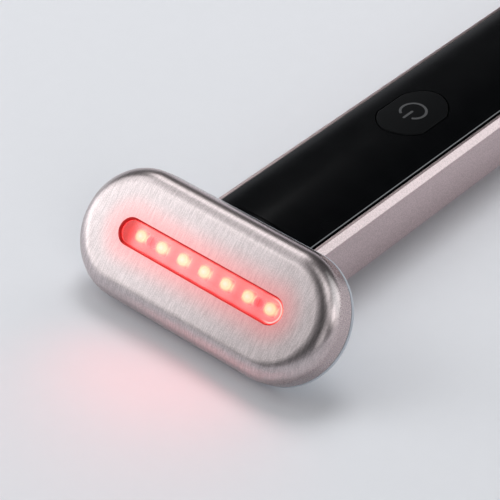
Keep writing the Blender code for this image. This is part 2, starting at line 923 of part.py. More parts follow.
def build_tail_cap(frame, material):
    start = handle_length - tail_cap_length
    rings = [drawn_in_ring(0.0, start)]
    for step in range(belly_steps + 1):
        turn = pi / 2 * step / belly_steps
        inset = tail_round * (1 - cos(turn))
        rings.append(drawn_in_ring(inset, handle_length - tail_round * (1 - sin(turn))))
    cap = solid("tail_cap", rings, material, frame)
    tongue_half = inner_half - fit_gap
    tongue_high = ledge_bottom - fit_gap
    tongue = rectangle(tongue_half, tongue_high - tongue_height, tongue_high)
    tongue_rings = [upright_ring(tongue, start - tongue_length), upright_ring(tongue, start + tail_wall)]
    combine(cap, tool("cap_tongue", tongue_rings, frame), "UNION")
    half = tongue_half - tongue_wall
    room = rectangle(half, tail_floor_wall, usb_bottom + usb_height + port_margin)
    room_rings = [
        upright_ring(room, start - tongue_length - overrun),
        upright_ring(room, handle_length - tail_wall),
    ]
    combine(cap, tool("cap_room", room_rings, frame))
    port = stadium(usb_width + 2 * port_margin, usb_height + 2 * port_margin)
    port = shifted(port, along=usb_middle)
    port_rings = [
        upright_ring(port, handle_length - tail_wall - overrun),
        upright_ring(port, handle_length + overrun),
    ]
    combine(cap, tool("charging_port", port_rings, frame))


def build_usb(frame, shell_material, tongue_material):
    outer = shifted(stadium(usb_width, usb_height, small_steps), along=usb_middle)
    inner = stadium(usb_width - 2 * usb_wall, usb_height - 2 * usb_wall, small_steps)
    inner = shifted(inner, along=usb_middle)
    start = usb_end - usb_length
    rings = [
        upright_ring(outer, start),
        upright_ring(outer, usb_end),
        upright_ring(inner, usb_end),
        upright_ring(inner, start + usb_back_wall),
    ]
    solid("usb_socket", rings, shell_material, frame)
    half_depth = usb_tongue_depth / 2
    tongue = rectangle(usb_tongue_width / 2, usb_middle - half_depth, usb_middle + half_depth)
    tongue_rings = [
        upright_ring(tongue, start + usb_back_wall + film_gap),
        upright_ring(tongue, usb_end - usb_tongue_gap),
    ]
    solid("usb_tongue", tongue_rings, tongue_material, frame)


def build_main_board(frame, material):
    outline = rounded_rectangle(board_width, board_end - board_front, board_corner)
    outline = shifted(outline, along=(board_front + board_end) / 2)
    rings = [flat_ring(outline, board_bottom), flat_ring(outline, board_top)]
    board = solid("main_board", rings, material, frame)
    for number, place in enumerate(post_places(), start=1):
        combine(board, screw_drill("board_hole_" + str(number), place, 0.0, crown_height, frame))


def build_battery(frame, material, pad_material):
    section = shifted(
        rounded_rectangle(battery_width, battery_depth, battery_round),
        along=battery_bottom + battery_depth / 2,
    )
    rings = [
        upright_ring(section, battery_front),
        upright_ring(section, battery_front + battery_length),
    ]
    solid("battery", rings, material, frame)
    pad = rectangle(pad_width / 2, pad_bottom, pad_bottom + pad_depth)
    pad_rings = [
        upright_ring(pad, battery_front + pad_depth),
        upright_ring(pad, battery_front + battery_length - pad_depth),
    ]
    solid("battery_pad", pad_rings, pad_material, frame)


def build_motor(frame, motor_frame, can_material, saddle_material, shaft_material, weight_material):
    can = solid(
        "vibration_motor",
        turned([(motor_radius, motor_front), (motor_radius, motor_front + motor_length)],
               turned_steps // 2, (0.0, motor_height)),
        can_material,
        frame,
    )
    hole = motor_shaft_radius + running_gap
    combine(can, tool(
        "motor_shaft_hole",
        turned([(hole, motor_front - overrun), (hole, motor_front + motor_shaft_hole_depth)],
               small_steps, (0.0, motor_height)),
        frame,
    ))
    saddle_front = motor_front + (motor_length - saddle_length) / 2
    saddle = rectangle(saddle_width / 2, housing_wall + fit_gap, motor_height + saddle_side_height)
    saddle_thing = solid(
        "motor_saddle",
        [upright_ring(saddle, saddle_front), upright_ring(saddle, saddle_front + saddle_length)],
        saddle_material,
        frame,
    )
    bed = motor_radius + film_gap
    combine(saddle_thing, tool(
        "motor_bed",
        turned([(bed, saddle_front - overrun), (bed, saddle_front + saddle_length + overrun)],
               turned_steps // 2, (0.0, motor_height)),
        frame,
    ))
    weight_back = -motor_air
    weight_front = weight_back - weight_length
    shaft_rings = turned(
        [(motor_shaft_radius, weight_front), (motor_shaft_radius, motor_shaft_hole_depth - fit_gap)],
        small_steps)
    solid("motor_shaft", shaft_rings, shaft_material, motor_frame)
    build_weight(motor_frame, weight_material, weight_front, weight_back)


def build_weight(motor_frame, material, front, back):
    """Half disc with a hub round the motor's shaft."""
    turns = [pi + pi * step / small_steps for step in range(small_steps + 1)]
    outline = [(weight_radius * cos(turn), weight_radius * sin(turn)) for turn in turns]
    hub = [pi * step / small_steps for step in range(small_steps + 1)]
    outline += [(weight_hub_radius * cos(turn), weight_hub_radius * sin(turn)) for turn in hub]
    rings = [upright_ring(outline, front), upright_ring(outline, back)]
    weight = solid("motor_weight", rings, material, motor_frame)
    bore = motor_shaft_radius + film_gap
    combine(weight, tool(
        "weight_bore", turned([(bore, front - overrun), (bore, back + overrun)], small_steps), motor_frame))


def build_leads(frame, axis_frame, lead_coat, red_coat, black_coat):
    """Leads: one stretch in the head, one in the handle, and thin ones up to the board."""
    nose_tip = -nose_length
    pivot_place = pivot_y - handle_front_y
    below_board = led_board_bottom - fit_gap - lead_radius * cos(head_lean)
    head_points = [(0.0, pivot_place - below_board / sin(head_lean), 0.0), (0.0, nose_tip - fit_gap, 0.0)]
    lead("head_lead", head_points, lead_radius, lead_coat, axis_frame)
    leaving = (0.0, shaft_end + lead_radius, axis_height)
    landing = (0.0, board_front + lead_landing - 2 * lead_radius, board_top + film_gap + lead_radius)
    third = (landing[1] - leaving[1]) / 3
    first_pull = (lead_slack, leaving[1] + third, axis_height)
    last_pull = (-lead_slack, landing[1] - third, landing[2])
    points = [(0.0, nose_tip, axis_height)] + smooth_route(leaving, first_pull, last_pull, landing)
    points.append((0.0, board_front + lead_landing, landing[2]))
    lead("swivel_lead", points, lead_radius, lead_coat, frame)
    battery_end = battery_front + battery_length
    battery_middle = battery_bottom + battery_depth / 2
    riser("battery_lead_red", (battery_lead_side, battery_end, battery_middle), red_coat, frame)
    riser("battery_lead_black", (-battery_lead_side, battery_end, battery_middle), black_coat, frame)
    riser("motor_lead", (0.0, motor_front + motor_length, motor_height), black_coat, frame)


def riser(name, start, material, frame):
    """Thin lead that leaves a rear face and rises to the main board's underside."""
    x, y, z = start
    bend = (x, y + riser_run, z)
    top = (x, y + riser_run, board_bottom - film_gap)
    lead(name, smooth_route((x, y + film_gap, z), bend, bend, top), thin_lead_radius, material, frame)


def build_wand():
    clear_scene()
    brushed_rose = make_material("brushed_rose_metal", (0.72, 0.62, 0.60), 0.32, 1.0)
    satin_rose = make_material("satin_rose_metal", (0.62, 0.54, 0.53), 0.42, 1.0)
    pale_plastic = make_material("pale_grey_plastic", (0.66, 0.69, 0.72), 0.45)
    gloss_black = make_material("gloss_black_cover", (0.010, 0.011, 0.012), 0.12)
    satin_black = make_material("satin_black_key", (0.018, 0.020, 0.021), 0.45)
    red_lens = make_material("clear_red_lens", (0.90, 0.16, 0.13), 0.15)
    led_glow = make_material("lit_red_diode", (1.00, 0.45, 0.30), 0.30)
    black_rubber = make_material("black_rubber", (0.03, 0.03, 0.03), 0.80)
    board_green = make_material("green_board", (0.03, 0.16, 0.09), 0.50)
    board_white = make_material("white_board", (0.80, 0.80, 0.78), 0.45)
    dark_plastic = make_material("dark_plastic", (0.06, 0.06, 0.065), 0.50)
    steel = make_material("bright_steel", (0.60, 0.60, 0.61), 0.28, 1.0)
    brass = make_material("brass_weight", (0.72, 0.55, 0.28), 0.35, 1.0)
    acetal = make_material("black_acetal", (0.04, 0.04, 0.042), 0.40)
    silver_wrap = make_material("silver_battery_wrap", (0.62, 0.63, 0.65), 0.35, 0.6)
    foam = make_material("grey_foam", (0.22, 0.22, 0.23), 0.95)
    lead_coat = make_material("white_lead_coat", (0.75, 0.74, 0.72), 0.55)
    red_coat = make_material("red_lead_coat", (0.60, 0.05, 0.04), 0.50)
    black_coat = make_material("black_lead_coat", (0.03, 0.03, 0.03), 0.50)

    handle = make_frame("handle_frame", (0.0, handle_front_y, 0.0))
    handle_axis = make_frame("handle_axis_frame", (0.0, 0.0, axis_height), handle)
    swivel = make_frame("head_swivel_axis", (0.0, handle_front_y, axis_height))
    head = make_frame("head_frame", (0.0, pivot_y - handle_front_y, 0.0), swivel, head_lean)
    button = make_frame("button_axis", (0.0, button_y, 0.0), handle)
    motor = make_frame("motor_axis", (0.0, motor_front, motor_height), handle)

    build_head_shell(head, brushed_rose)
    build_window(head, red_lens, black_rubber)
    build_leds(head, led_glow)
    build_led_board(head, board_white, dark_plastic, steel)
    build_back_cover(head, pale_plastic)
    build_shaft(swivel, steel, steel)
    build_washer(handle_axis, steel)
    build_bushing(handle_axis, acetal)
    build_front_cap(handle, handle_axis, gloss_black)
    build_swivel_block(handle, handle_axis, dark_plastic, steel)
    build_housing(handle, satin_rose, steel)
    build_panel(handle, gloss_black)
    build_button(button, satin_black)
    build_switch(handle, button, dark_plastic, satin_black)
    build_tail_cap(handle, satin_rose)
    build_usb(handle, steel, dark_plastic)
    build_main_board(handle, board_green)
    build_battery(handle, silver_wrap, foam)
    build_motor(handle, motor, steel, black_rubber, steel, brass)
    build_leads(handle, swivel, lead_coat, red_coat, black_coat)


build_wand()
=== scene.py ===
# %% [markdown]
# # A red light therapy wand, dressed for its portrait
#
# The wand is a slim metal handle with a glossy black front, and a pill-shaped metal head that
# leans forward and turns on it. A row of seven red diodes shines through a slot in the head.
# The solid model is loaded first and stays where it is. Every piece made here is fitted to it,
# so the piece can move with the body that carries it.

# %% Load the solid model
import json
from math import asin, copysign, cos, pi, radians, sin, sqrt

import bmesh
import bpy
from mathutils import Matrix, Vector

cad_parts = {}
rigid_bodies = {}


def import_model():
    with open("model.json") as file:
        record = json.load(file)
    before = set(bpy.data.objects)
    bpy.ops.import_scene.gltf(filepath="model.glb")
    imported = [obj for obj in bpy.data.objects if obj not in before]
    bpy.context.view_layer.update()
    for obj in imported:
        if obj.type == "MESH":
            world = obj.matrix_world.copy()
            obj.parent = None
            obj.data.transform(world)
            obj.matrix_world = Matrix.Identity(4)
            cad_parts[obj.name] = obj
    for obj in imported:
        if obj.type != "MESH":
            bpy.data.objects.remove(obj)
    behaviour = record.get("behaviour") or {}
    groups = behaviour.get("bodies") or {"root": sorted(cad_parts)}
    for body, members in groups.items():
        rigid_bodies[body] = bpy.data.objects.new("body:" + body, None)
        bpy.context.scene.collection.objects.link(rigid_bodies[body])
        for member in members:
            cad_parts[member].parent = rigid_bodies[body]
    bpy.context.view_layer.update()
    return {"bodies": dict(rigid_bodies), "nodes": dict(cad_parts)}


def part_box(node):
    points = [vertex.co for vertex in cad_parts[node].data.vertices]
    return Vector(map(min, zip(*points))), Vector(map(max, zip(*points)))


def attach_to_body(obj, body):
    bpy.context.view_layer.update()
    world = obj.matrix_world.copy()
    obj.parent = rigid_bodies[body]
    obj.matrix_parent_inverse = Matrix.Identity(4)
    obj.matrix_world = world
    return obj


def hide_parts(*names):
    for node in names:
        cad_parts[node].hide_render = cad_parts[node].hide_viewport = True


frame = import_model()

print("solid pieces:", len(frame["nodes"]))

# %% [markdown]
# ## The sizes
#
# A part that has to seat on another one needs the same numbers, so the sizes come before the
# shapes. They are in metres, and `mm` keeps them readable. The head has its own frame: x across,
# y up the plate and z out of the face. One matrix leans that frame forward onto the swivel.

# %% Sizes of the head
mm = 0.001
tiny = 0.002 * mm

head_lean = radians(47.2)
head_width = 48.0 * mm
head_height = 20.3 * mm
head_rear = 1.0 * mm
head_face = 6.1 * mm
head_wall = 0.7 * mm
shoulder = 3.0 * mm
slot_length = 31.2 * mm
slot_width = 4.0 * mm
slot_flare = 0.2 * mm
rim_depth = 0.8 * mm
rim_edge = 0.2 * mm
led_pitch = 4.22 * mm
last_led = 3

pivot = Vector((0.0, -64.8674 * mm, 7.3115 * mm))
head_place = Matrix.Translation(pivot) @ Matrix.Rotation(head_lean, 4, "X")
face_middle = head_place @ Vector((0, 0, head_face))
print("middle of the face in mm:", tuple(round(c / mm, 2) for c in face_middle))

# %% [markdown]
# The handle is one section drawn along y, so its sizes are the corners of that section. The
# crown of the black front and the round of the belly are arcs, and an arc through two known
# points follows from its width and its rise.

# %% Sizes of the handle
handle_front = -57.3711 * mm
handle_end = 75.0 * mm
housing_start = handle_front + 1.8 * mm
housing_length = handle_end - 9.2 * mm - housing_start

half_handle = 10.55 * mm
chamfer = 0.94 * mm
lip_height = 11.0615 * mm
side_top = lip_height - chamfer
pocket_half = 9.15 * mm
land_half = 4.2 * mm
belly_rise = 2.2 * mm
housing_wall = 1.2 * mm
ledge_top = lip_height - 1.8 * mm
ledge_bottom = lip_height - 2.8 * mm
ledge_reach = 1.0 * mm

panel_half = 8.85 * mm
panel_edge = 11.3615 * mm
crown_rise = 1.66 * mm
crown_top = panel_edge + crown_rise
panel_wall = 1.2 * mm
skirt_bottom = ledge_top + 0.3 * mm


def arc_radius(half_width, rise):
    return (half_width ** 2 + rise ** 2) / (2 * rise)


crown_radius = arc_radius(panel_half, crown_rise)
crown_middle = crown_top - crown_radius
belly_run = half_handle - land_half
belly_radius = arc_radius(belly_run, belly_rise)
print("crown radius in mm:", round(crown_radius / mm, 2))

# %% [markdown]
# ## The camera
#
# The camera looks down on the face from the right. A long lens keeps the handle's edges nearly
# parallel, as in a product photograph. Three turns set its direction: round the wand, up from
# the horizon, and a slight roll.

# %% Camera
camera_place = Vector((170.13, -249.10, 213.43)) * mm
camera_round = radians(41.702)
camera_up = radians(38.717)
camera_roll = radians(-0.275)
camera_lens = 159.195
film_width = 36.0
nearest_seen = 10 * mm


def add_object(name, data):
    """Puts a mesh, a camera or a light into the scene."""
    thing = bpy.data.objects.new(name, data)
    bpy.context.scene.collection.objects.link(thing)
    return thing


camera = add_object("camera", bpy.data.cameras.new("camera"))
camera.data.lens = camera_lens
camera.data.sensor_width = film_width
camera.data.clip_start = nearest_seen
camera.matrix_world = (
    Matrix.Translation(camera_place)
    @ Matrix.Rotation(camera_round, 4, "Z")
    @ Matrix.Rotation(pi / 2 - camera_up, 4, "X")
    @ Matrix.Rotation(camera_roll, 4, "Z")
)
bpy.context.scene.camera = camera
bpy.context.scene.view_settings.view_transform = "Standard"
print("camera at", tuple(round(c, 4) for c in camera_place))

# %% [markdown]
# ## Writing shaders as sums
#
# A material is a graph of nodes, but most of it is arithmetic: a distance, a fade, a mask. A
# small class wraps a socket and overloads the operators, so an expression adds its own nodes.
# `add_node` makes any other kind: its settings are set first, then its inputs.

# %% A socket that can be calculated with
def add_node(tree, kind, settings=None, inputs=None, output=0):
    """Adds a node with its settings and inputs, and returns one of its outputs."""
    node = tree.nodes.new(kind)
    for name, value in (settings or {}).items():
        if name == "stops":
            set_stops(node.color_ramp, value)
        else:
            setattr(node, name, value)
    for name, value in (inputs or {}).items():
        if isinstance(value, Signal):
            tree.links.new(value.socket, node.inputs[name])
        else:
            node.inputs[name].default_value = value
    return Signal(node.outputs[output])


def set_stops(ramp, stops):
    while len(ramp.elements) < len(stops):
        ramp.elements.new(1.0)
    for element, (place, colour) in zip(ramp.elements, stops):
        element.position = place
        element.color = (*colour, 1.0)


class Signal:
    """An output socket. Sums on it add the Math nodes that work them out."""

    def __init__(self, socket):
        self.socket = socket
        self.tree = socket.id_data

    def math(self, operation, *others):
        inputs = dict(enumerate((self, *others)))
        return add_node(self.tree, "ShaderNodeMath", {"operation": operation}, inputs)

    def __add__(self, other):
        return self.math("ADD", other)

    def __sub__(self, other):
        return self.math("SUBTRACT", other)

    def __rsub__(self, other):
        return (self * -1.0) + other

    def __mul__(self, other):
        return self.math("MULTIPLY", other)

    def __truediv__(self, other):
        return self.math("DIVIDE", other)

    __radd__ = __add__
    __rmul__ = __mul__

    def fade(self, start, end):
        """1 up to start, falling smoothly to 0 at end."""
        settings = {"interpolation_type": "SMOOTHSTEP"}
        inputs = {0: self, 1: start, 2: end, 3: 1.0, 4: 0.0}
        return add_node(self.tree, "ShaderNodeMapRange", settings, inputs)


def mix(share, first, second):
    """A colour on the way from first to second."""
    # A Mix node has sockets for each kind of value. The colours are inputs 6, 7 and output 2.
    inputs = {0: share}
    for slot, colour in ((6, first), (7, second)):
        inputs[slot] = colour if isinstance(colour, Signal) else (*colour, 1.0)
    return add_node(share.tree, "ShaderNodeMix", {"data_type": "RGBA"}, inputs, output=2)


def mix_number(share, first, second):
    """A number on the way from first to second."""
    return first + (second - first) * share


print("shader helpers ready")

# %% [markdown]
# Every finish starts in the same way: a material with a Principled shader, whose constant
# numbers go straight onto its sockets. Object coordinates are in metres here, so a grain of a
# tenth of a millimetre has a noise scale of about ten thousand.

# %% Start of a material
def new_material(name, **constants):
    """An empty finish with its constant numbers set, and the coordinates to draw it with."""
    material = bpy.data.materials.new(name)
    material.use_nodes = True
    shader = material.node_tree.nodes["Principled BSDF"]
    for socket, value in constants.items():
        shader.inputs[socket.replace("_", " ")].default_value = value
    print("finish", name)
    return material, add_node(material.node_tree, "ShaderNodeTexCoord", output="Object")


def feed(material, **signals):
    """Links what varies over the surface to the shader, and returns the material."""
    tree = material.node_tree
    shader = tree.nodes["Principled BSDF"]
    for name, signal in signals.items():
        tree.links.new(signal.socket, shader.inputs[name.replace("_", " ")])
    return material


def grain(place, size, detail=2.0, stretch=(1.0, 1.0, 1.0)):
    """Noise whose spots have about this size, from 0 to 1, longer where the stretch is more."""
    scale = tuple(1.0 / (size * share) for share in stretch)
    settings = {"operation": "MULTIPLY"}
    spread = add_node(place.tree, "ShaderNodeVectorMath", settings, {0: place, 1: scale})
    inputs = {"Vector": spread, "Scale": 1.0, "Detail": detail}
    return add_node(place.tree, "ShaderNodeTexNoise", None, inputs)


def contrast(signal, gain):
    """Pushes a noise away from its middle value, and keeps it from 0 to 1."""
    pushed = (signal - 0.5) * gain + 0.5
    return add_node(signal.tree, "ShaderNodeClamp", None, {0: pushed})


def bump(height, depth, strength):
    """Turns a height from 0 to 1 into a surface that rises by this depth."""
    inputs = {"Height": height, "Distance": depth, "Strength": strength}
    return add_node(height.tree, "ShaderNodeBump", None, inputs)


def parts(place):
    """The three coordinates of a place, each as a number."""
    node = add_node(place.tree, "ShaderNodeSeparateXYZ", None, {0: place}).socket.node
    return [Signal(output) for output in node.outputs]


print("material helpers ready")

# %% [markdown]
# ## The finishes of the metal
#
# The head is brushed: fine scratches run up the plate, so light smears across them. The pattern
# is noise stretched along y, in the head's own frame, which a Mapping node turns to. Two widths
# of scratch and some specks together look less regular than one noise. Below the shoulder the
# wall is only blasted, so the scratches fade out there. The red light of the diodes is painted
# into the metal's colour round the slot, and its flared edge is painted dark red with a faint
# red emission.

# %% Brushed metal of the head
def head_material(name, **constants):
    """An empty finish whose coordinates are those of the head's frame."""
    material, place = new_material(name, **constants)
    leaned = Matrix.Rotation(-head_lean, 3, "X") @ -pivot
    inputs = {"Vector": place, "Location": leaned, "Rotation": (-head_lean, 0.0, 0.0)}
    return material, add_node(place.tree, "ShaderNodeMapping", {"vector_type": "POINT"}, inputs)


def slot_distance(across, up):
    """Distance from the edge of the slot, less than 0 inside it."""
    past_end = (across.math("ABSOLUTE") - (slot_length - slot_width) / 2).math("MAXIMUM", 0.0)
    return (past_end * past_end + up * up).math("SQRT") - slot_width / 2


black = (0.0, 0.0, 0.0)
scratch_width = 0.16 * mm
smear_width = 0.50 * mm
speck_size = 0.17 * mm
glow_start = -1.0 * mm
glow_end = 4.4 * mm
metal_contrast = 4.5


def brushed_metal():
    material, local = head_material(
        "brushed_rose_metal", Metallic=1.0, IOR=1.5, Emission_Strength=1.0)
    across, up, out = parts(local)
    fine = grain(local, scratch_width, 2.0, (1.0, 12.0, 8.0))
    wide = grain(local, smear_width, 1.0, (1.0, 20.0, 8.0))
    specks = grain(local, speck_size, 1.0)
    scratches = fine * 0.50 + wide * 0.05 + specks * 0.45
    on_wall = out.fade(head_face - shoulder, head_face)
    relief = mix_number(on_wall, scratches, specks * 0.35 + 0.325)
    marks = contrast(relief, metal_contrast)
    on_face = mix(marks, (0.435, 0.385, 0.390), (0.630, 0.563, 0.569))
    tone = mix(on_wall, on_face, mix(marks, (0.432, 0.354, 0.356), (0.600, 0.492, 0.495)))
    edge = slot_distance(across, up)
    # Painted light: the diodes' red glow on the metal round the slot, put into its colour.
    painted_red_glow = mix(edge.fade(glow_start, glow_end) * 0.60, tone, (0.92, 0.25, 0.25))
    # Painted light: the flared edge of the slot is painted dark red, with a faint red emission.
    painted_red_rim = edge.fade(slot_flare * 0.8, slot_flare * 1.2)
    return feed(
        material,
        Base_Color=mix(painted_red_rim, painted_red_glow, (0.36, 0.03, 0.03)),
        Roughness=relief * 0.12 - on_wall * 0.04 + 0.25,
        Normal=bump(relief, 0.020 * mm, 0.7),
        Emission_Color=mix(painted_red_rim, black, (0.20, 0.008, 0.008)),
    )


brushed = brushed_metal()

# %% [markdown]
# The handle has the softer cousin of that finish. It is blasted with glass beads before it is
# dyed, which leaves an even grain of tiny dimples. A very fine noise gives their sparkle, and a
# broad one keeps the long side from looking printed.

# %% Blasted metal of the handle
def blasted_metal():
    material, place = new_material("satin_rose_metal", Metallic=1.0, IOR=1.5)
    dimples = grain(place, 0.20 * mm, 1.0)
    cloud = grain(place, 6.0 * mm, 2.0, (1.0, 3.0, 1.0))
    marks = contrast(dimples * 0.8 + cloud * 0.2, metal_contrast)
    return feed(
        material,
        Base_Color=mix(marks, (0.495, 0.396, 0.402), (0.633, 0.514, 0.523)),
        Roughness=dimples * 0.12 + 0.27,
        Normal=bump(dimples, 0.016 * mm, 0.7),
    )


blasted = blasted_metal()

# %% [markdown]
# ## Shaping with operators
#
# Most pieces start as a flat outline that is raised, inset and rounded. The pill outline is half
# drawn and mirrored: a corner point is spun through half a turn for the round end. A spin makes
# the arc exactly, which no list of typed points would.

# %% Outlines and how they rise
def pill_face(bm, length, width, height=0.0, steps=40):
    """Flat face with straight sides and half-round ends, lying at this height."""
    radius = width / 2
    run = length / 2 - radius
    low = bm.verts.new((0.0, -radius, 0.0))
    corner = bm.verts.new((run, -radius, 0.0))
    bm.edges.new((low, corner))
    last = swing(bm, corner, (run, 0.0, 0.0), (0.0, 0.0, 1.0), pi, steps)
    high = bm.verts.new((0.0, radius, 0.0))
    bm.edges.new((last, high))
    face = mirrored_face(bm)
    bmesh.ops.translate(bm, vec=(0, 0, height), verts=bm.verts)
    return face


def swing(bm, vertex, centre, axis, angle, steps):
    """Spins a vertex into an arc of edges and returns the last vertex."""
    turned = bmesh.ops.spin(
        bm, geom=[vertex], cent=centre, axis=axis, angle=angle, steps=steps, use_merge=False
    )
    return [item for item in turned["geom_last"] if isinstance(item, bmesh.types.BMVert)][0]


def mirrored_face(bm):
    """Mirrors half an outline over x = 0 and fills it."""
    bmesh.ops.mirror(bm, geom=bm.verts[:] + bm.edges[:], merge_dist=tiny, axis="X")
    return bmesh.ops.contextual_create(bm, geom=bm.edges[:])["faces"][0]


def raise_face(bm, face, way):
    """Extrudes a face by a vector and returns the moved face."""
    grown = bmesh.ops.extrude_face_region(bm, geom=[face])["geom"]
    moved = [item for item in grown if isinstance(item, bmesh.types.BMVert)]
    bmesh.ops.translate(bm, vec=way, verts=moved)
    if any(len(edge.link_faces) > 2 for edge in face.edges):
        bmesh.ops.delete(bm, geom=[face], context="FACES_ONLY")
    return [item for item in grown if isinstance(item, bmesh.types.BMFace)][0]


def inset_face(bm, face, amount):
    """Insets a face and returns it, now smaller."""
    bmesh.ops.inset_region(bm, faces=[face], thickness=amount, use_even_offset=True)
    return face


def round_edges(bm, edges, radius, segments):
    bmesh.ops.bevel(
        bm, geom=edges, offset=radius, offset_type="OFFSET", affect="EDGES",
        segments=segments, profile=0.5, material=-1, clamp_overlap=True,
    )


def flat_face(bm, height):
    """The widest level face at this height."""
    level = [f for f in bm.faces if all(abs(v.co.z - height) < tiny for v in f.verts)]
    return max(level, key=lambda f: f.calc_area())


print("shaping helpers ready")

# %% [markdown]
# A finished piece is a mesh object at the origin, with its place in its mesh. It is shaded
# smooth, except where two faces meet at more than a set angle. A Boolean joins a second solid to
# it or cuts one out. At last it is tied to the body that carries it, and it stands for the plain
# solid under it.

# %% Finishing a piece
crease = radians(28)


def new_mesh(name, bm):
    """Writes a bmesh into a mesh and frees it."""
    mesh = bpy.data.meshes.new(name)
    bm.to_mesh(mesh)
    bm.free()
    return mesh


def finish_piece(name, bm, material, place=Matrix.Identity(4)):
    """Turns a bmesh into a closed, smooth piece with its finish."""
    bmesh.ops.transform(bm, matrix=place, verts=bm.verts)
    bmesh.ops.remove_doubles(bm, verts=bm.verts, dist=tiny / 20)
    bmesh.ops.recalc_face_normals(bm, faces=bm.faces)
    mesh = new_mesh(name, bm)
    piece = add_object(name, mesh)
    mesh.materials.append(material)
    smooth(mesh)
    print("shaped", name, "with", len(mesh.polygons), "faces")
    return piece


def smooth(mesh):
    """Shades round parts smooth, while a wide flat face keeps its own direction."""
    mesh.shade_smooth()
    mesh.set_sharp_from_angle(angle=crease)
    around = [[] for vertex in mesh.vertices]
    for face in mesh.polygons:
        for vertex in face.vertices:
            around[vertex].append((face.normal.copy(), face.area))
    corners = []
    for face in mesh.polygons:
        for vertex in face.vertices:
            near = [n * area for n, area in around[vertex] if n.dot(face.normal) > cos(crease)]
            corners.append(sum(near, Vector()).normalized())
    mesh.normals_split_custom_set(corners)


def attach(piece, body, stands_for=None):
    """Ties a piece to its body, and hides the solid that it stands for."""
    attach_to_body(piece, body)
    if stands_for:
        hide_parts(stands_for)
    piece.data.calc_loop_triangles()
    print(piece.name, len(piece.data.loop_triangles), "triangles")


def material_slot(node):
    return frame["nodes"][node].data.materials[0].name


def combine(piece, other, operation):
    """Cuts another solid out of a piece, or joins it on, and removes the other one."""
    change = piece.modifiers.new("combine", "BOOLEAN")
    change.operation = operation
    change.solver = "EXACT"
    change.object = other
    whole = piece.evaluated_get(bpy.context.evaluated_depsgraph_get())
    mesh = bpy.data.meshes.new_from_object(whole)
    bm = bmesh.new()
    bm.from_mesh(mesh)
    bmesh.ops.dissolve_degenerate(bm, dist=tiny / 20, edges=bm.edges)
    bm.to_mesh(mesh)
    bm.free()
    piece.modifiers.clear()
    piece.data = mesh
    mesh.name = piece.name
    smooth(mesh)
    bpy.data.objects.remove(other, do_unlink=True)


print("slots:", sorted({material_slot(node) for node in frame["nodes"]}))

# %% [markdown]
# ## The head shell
#
# The real shell is drawn from one sheet, so its wall is even and its shoulder is one round
# stretch. Here a pill is raised and its upper edge gets a bevel with many segments, which is the
# same quarter round. The hollow is made from below in the same way. The slot is an inset of the
# face that matches an inset of the ceiling, and bridging the two gives the slot its wall.

# %% Head shell
shoulder_steps = 16
support_width = 0.12 * mm
end_trim = (head_width - head_height - slot_length + slot_width) / 2


def slot_ring(bm, face, width):
    """Insets a pill-shaped face until it is as wide as the slot, and as long."""
    support = inset_face(bm, face, support_width)
    span = max(v.co.y for v in support.verts) * 2
    ring = inset_face(bm, support, (span - width) / 2)
    for vertex in ring.verts:
        if abs(vertex.co.x) > tiny:
            vertex.co.x -= copysign(end_trim, vertex.co.x)
    return ring


bm = bmesh.new()
base = pill_face(bm, head_width, head_height, head_rear)
front = raise_face(bm, base, (0, 0, head_face - head_rear))
round_edges(bm, list(front.edges), shoulder, shoulder_steps)

floor_face = inset_face(bm, flat_face(bm, head_rear), head_wall)
ceiling = raise_face(bm, floor_face, (0, 0, head_face - head_wall - head_rear))
round_edges(bm, list(ceiling.edges), shoulder - head_wall, shoulder_steps)

mouth = slot_ring(bm, flat_face(bm, head_face), slot_width + 2 * slot_flare)
inset_face(bm, mouth, slot_flare)
bmesh.ops.translate(bm, vec=(0, 0, -slot_flare), verts=mouth.verts)
inner_mouth = slot_ring(bm, flat_face(bm, head_face - head_wall), slot_width)
rings = list(mouth.edges) + list(inner_mouth.edges)
bmesh.ops.delete(bm, geom=[mouth, inner_mouth], context="FACES_ONLY")
bmesh.ops.bridge_loops(bm, edges=rings)
shell = finish_piece("brushed_head_shell", bm, brushed, head_place)
attach(shell, "head", "head_shell")

# %% [markdown]
# ## The back cover
#
# A pale moulded plate closes the head from behind, and only its rim shows from the front. A
# round neck grows out of it along the handle's axis, at an angle to the plate. Two solids that
# meet at a slant are simplest to join with a Boolean, which finds the curve where they meet. The
# neck is trimmed inside the head first, so that it ends under the lit board.

# %% Moulded plastic
def moulded_plastic(
    name, light, dark, roughness,
    texture=0.25 * mm, relief=0.004 * mm, clouded=0.5, reflection=0.5,
):
    """Plastic with pebbles of one size and depth, and a share of slow change in its colour."""
    material, place = new_material(name, IOR=1.48, Specular_IOR_Level=reflection)
    pebbles = grain(place, texture)
    cloud = grain(place, 5.0 * mm, 1.0)
    return feed(
        material,
        Base_Color=mix(mix_number(clouded, pebbles, cloud), dark, light),
        Roughness=pebbles * 0.12 + roughness,
        Normal=bump(pebbles, relief, 0.5),
    )


pale_plastic = moulded_plastic("pale_grey_plastic", (0.50, 0.54, 0.60), (0.42, 0.46, 0.52), 0.36)

# %% Back cover and its neck
def round_solid(radius, end_radius, length, segments, place):
    """Cylinder or cone with flat ends."""
    bm = bmesh.new()
    bmesh.ops.create_cone(
        bm, cap_ends=True, segments=segments, radius1=radius, radius2=end_radius, depth=length,
    )
    return finish_piece("round_solid", bm, pale_plastic, place)


def bar(radius, start, end, end_radius=None):
    """Round solid on the swivel's axis, between two places along y."""
    along = Matrix.Rotation(-pi / 2, 4, "X")
    place = Matrix.Translation((0.0, (start + end) / 2, pivot.z)) @ along
    return round_solid(radius, end_radius or radius, end - start, 72, place)


neck_radius = 3.2 * mm
neck_reach = 4.0 * mm
neck_bore = 2.1 * mm
neck_root = 7.0 * mm
neck_ceiling = 2.3 * mm

neck_start = pivot.y - neck_root
neck_end = pivot.y + neck_reach

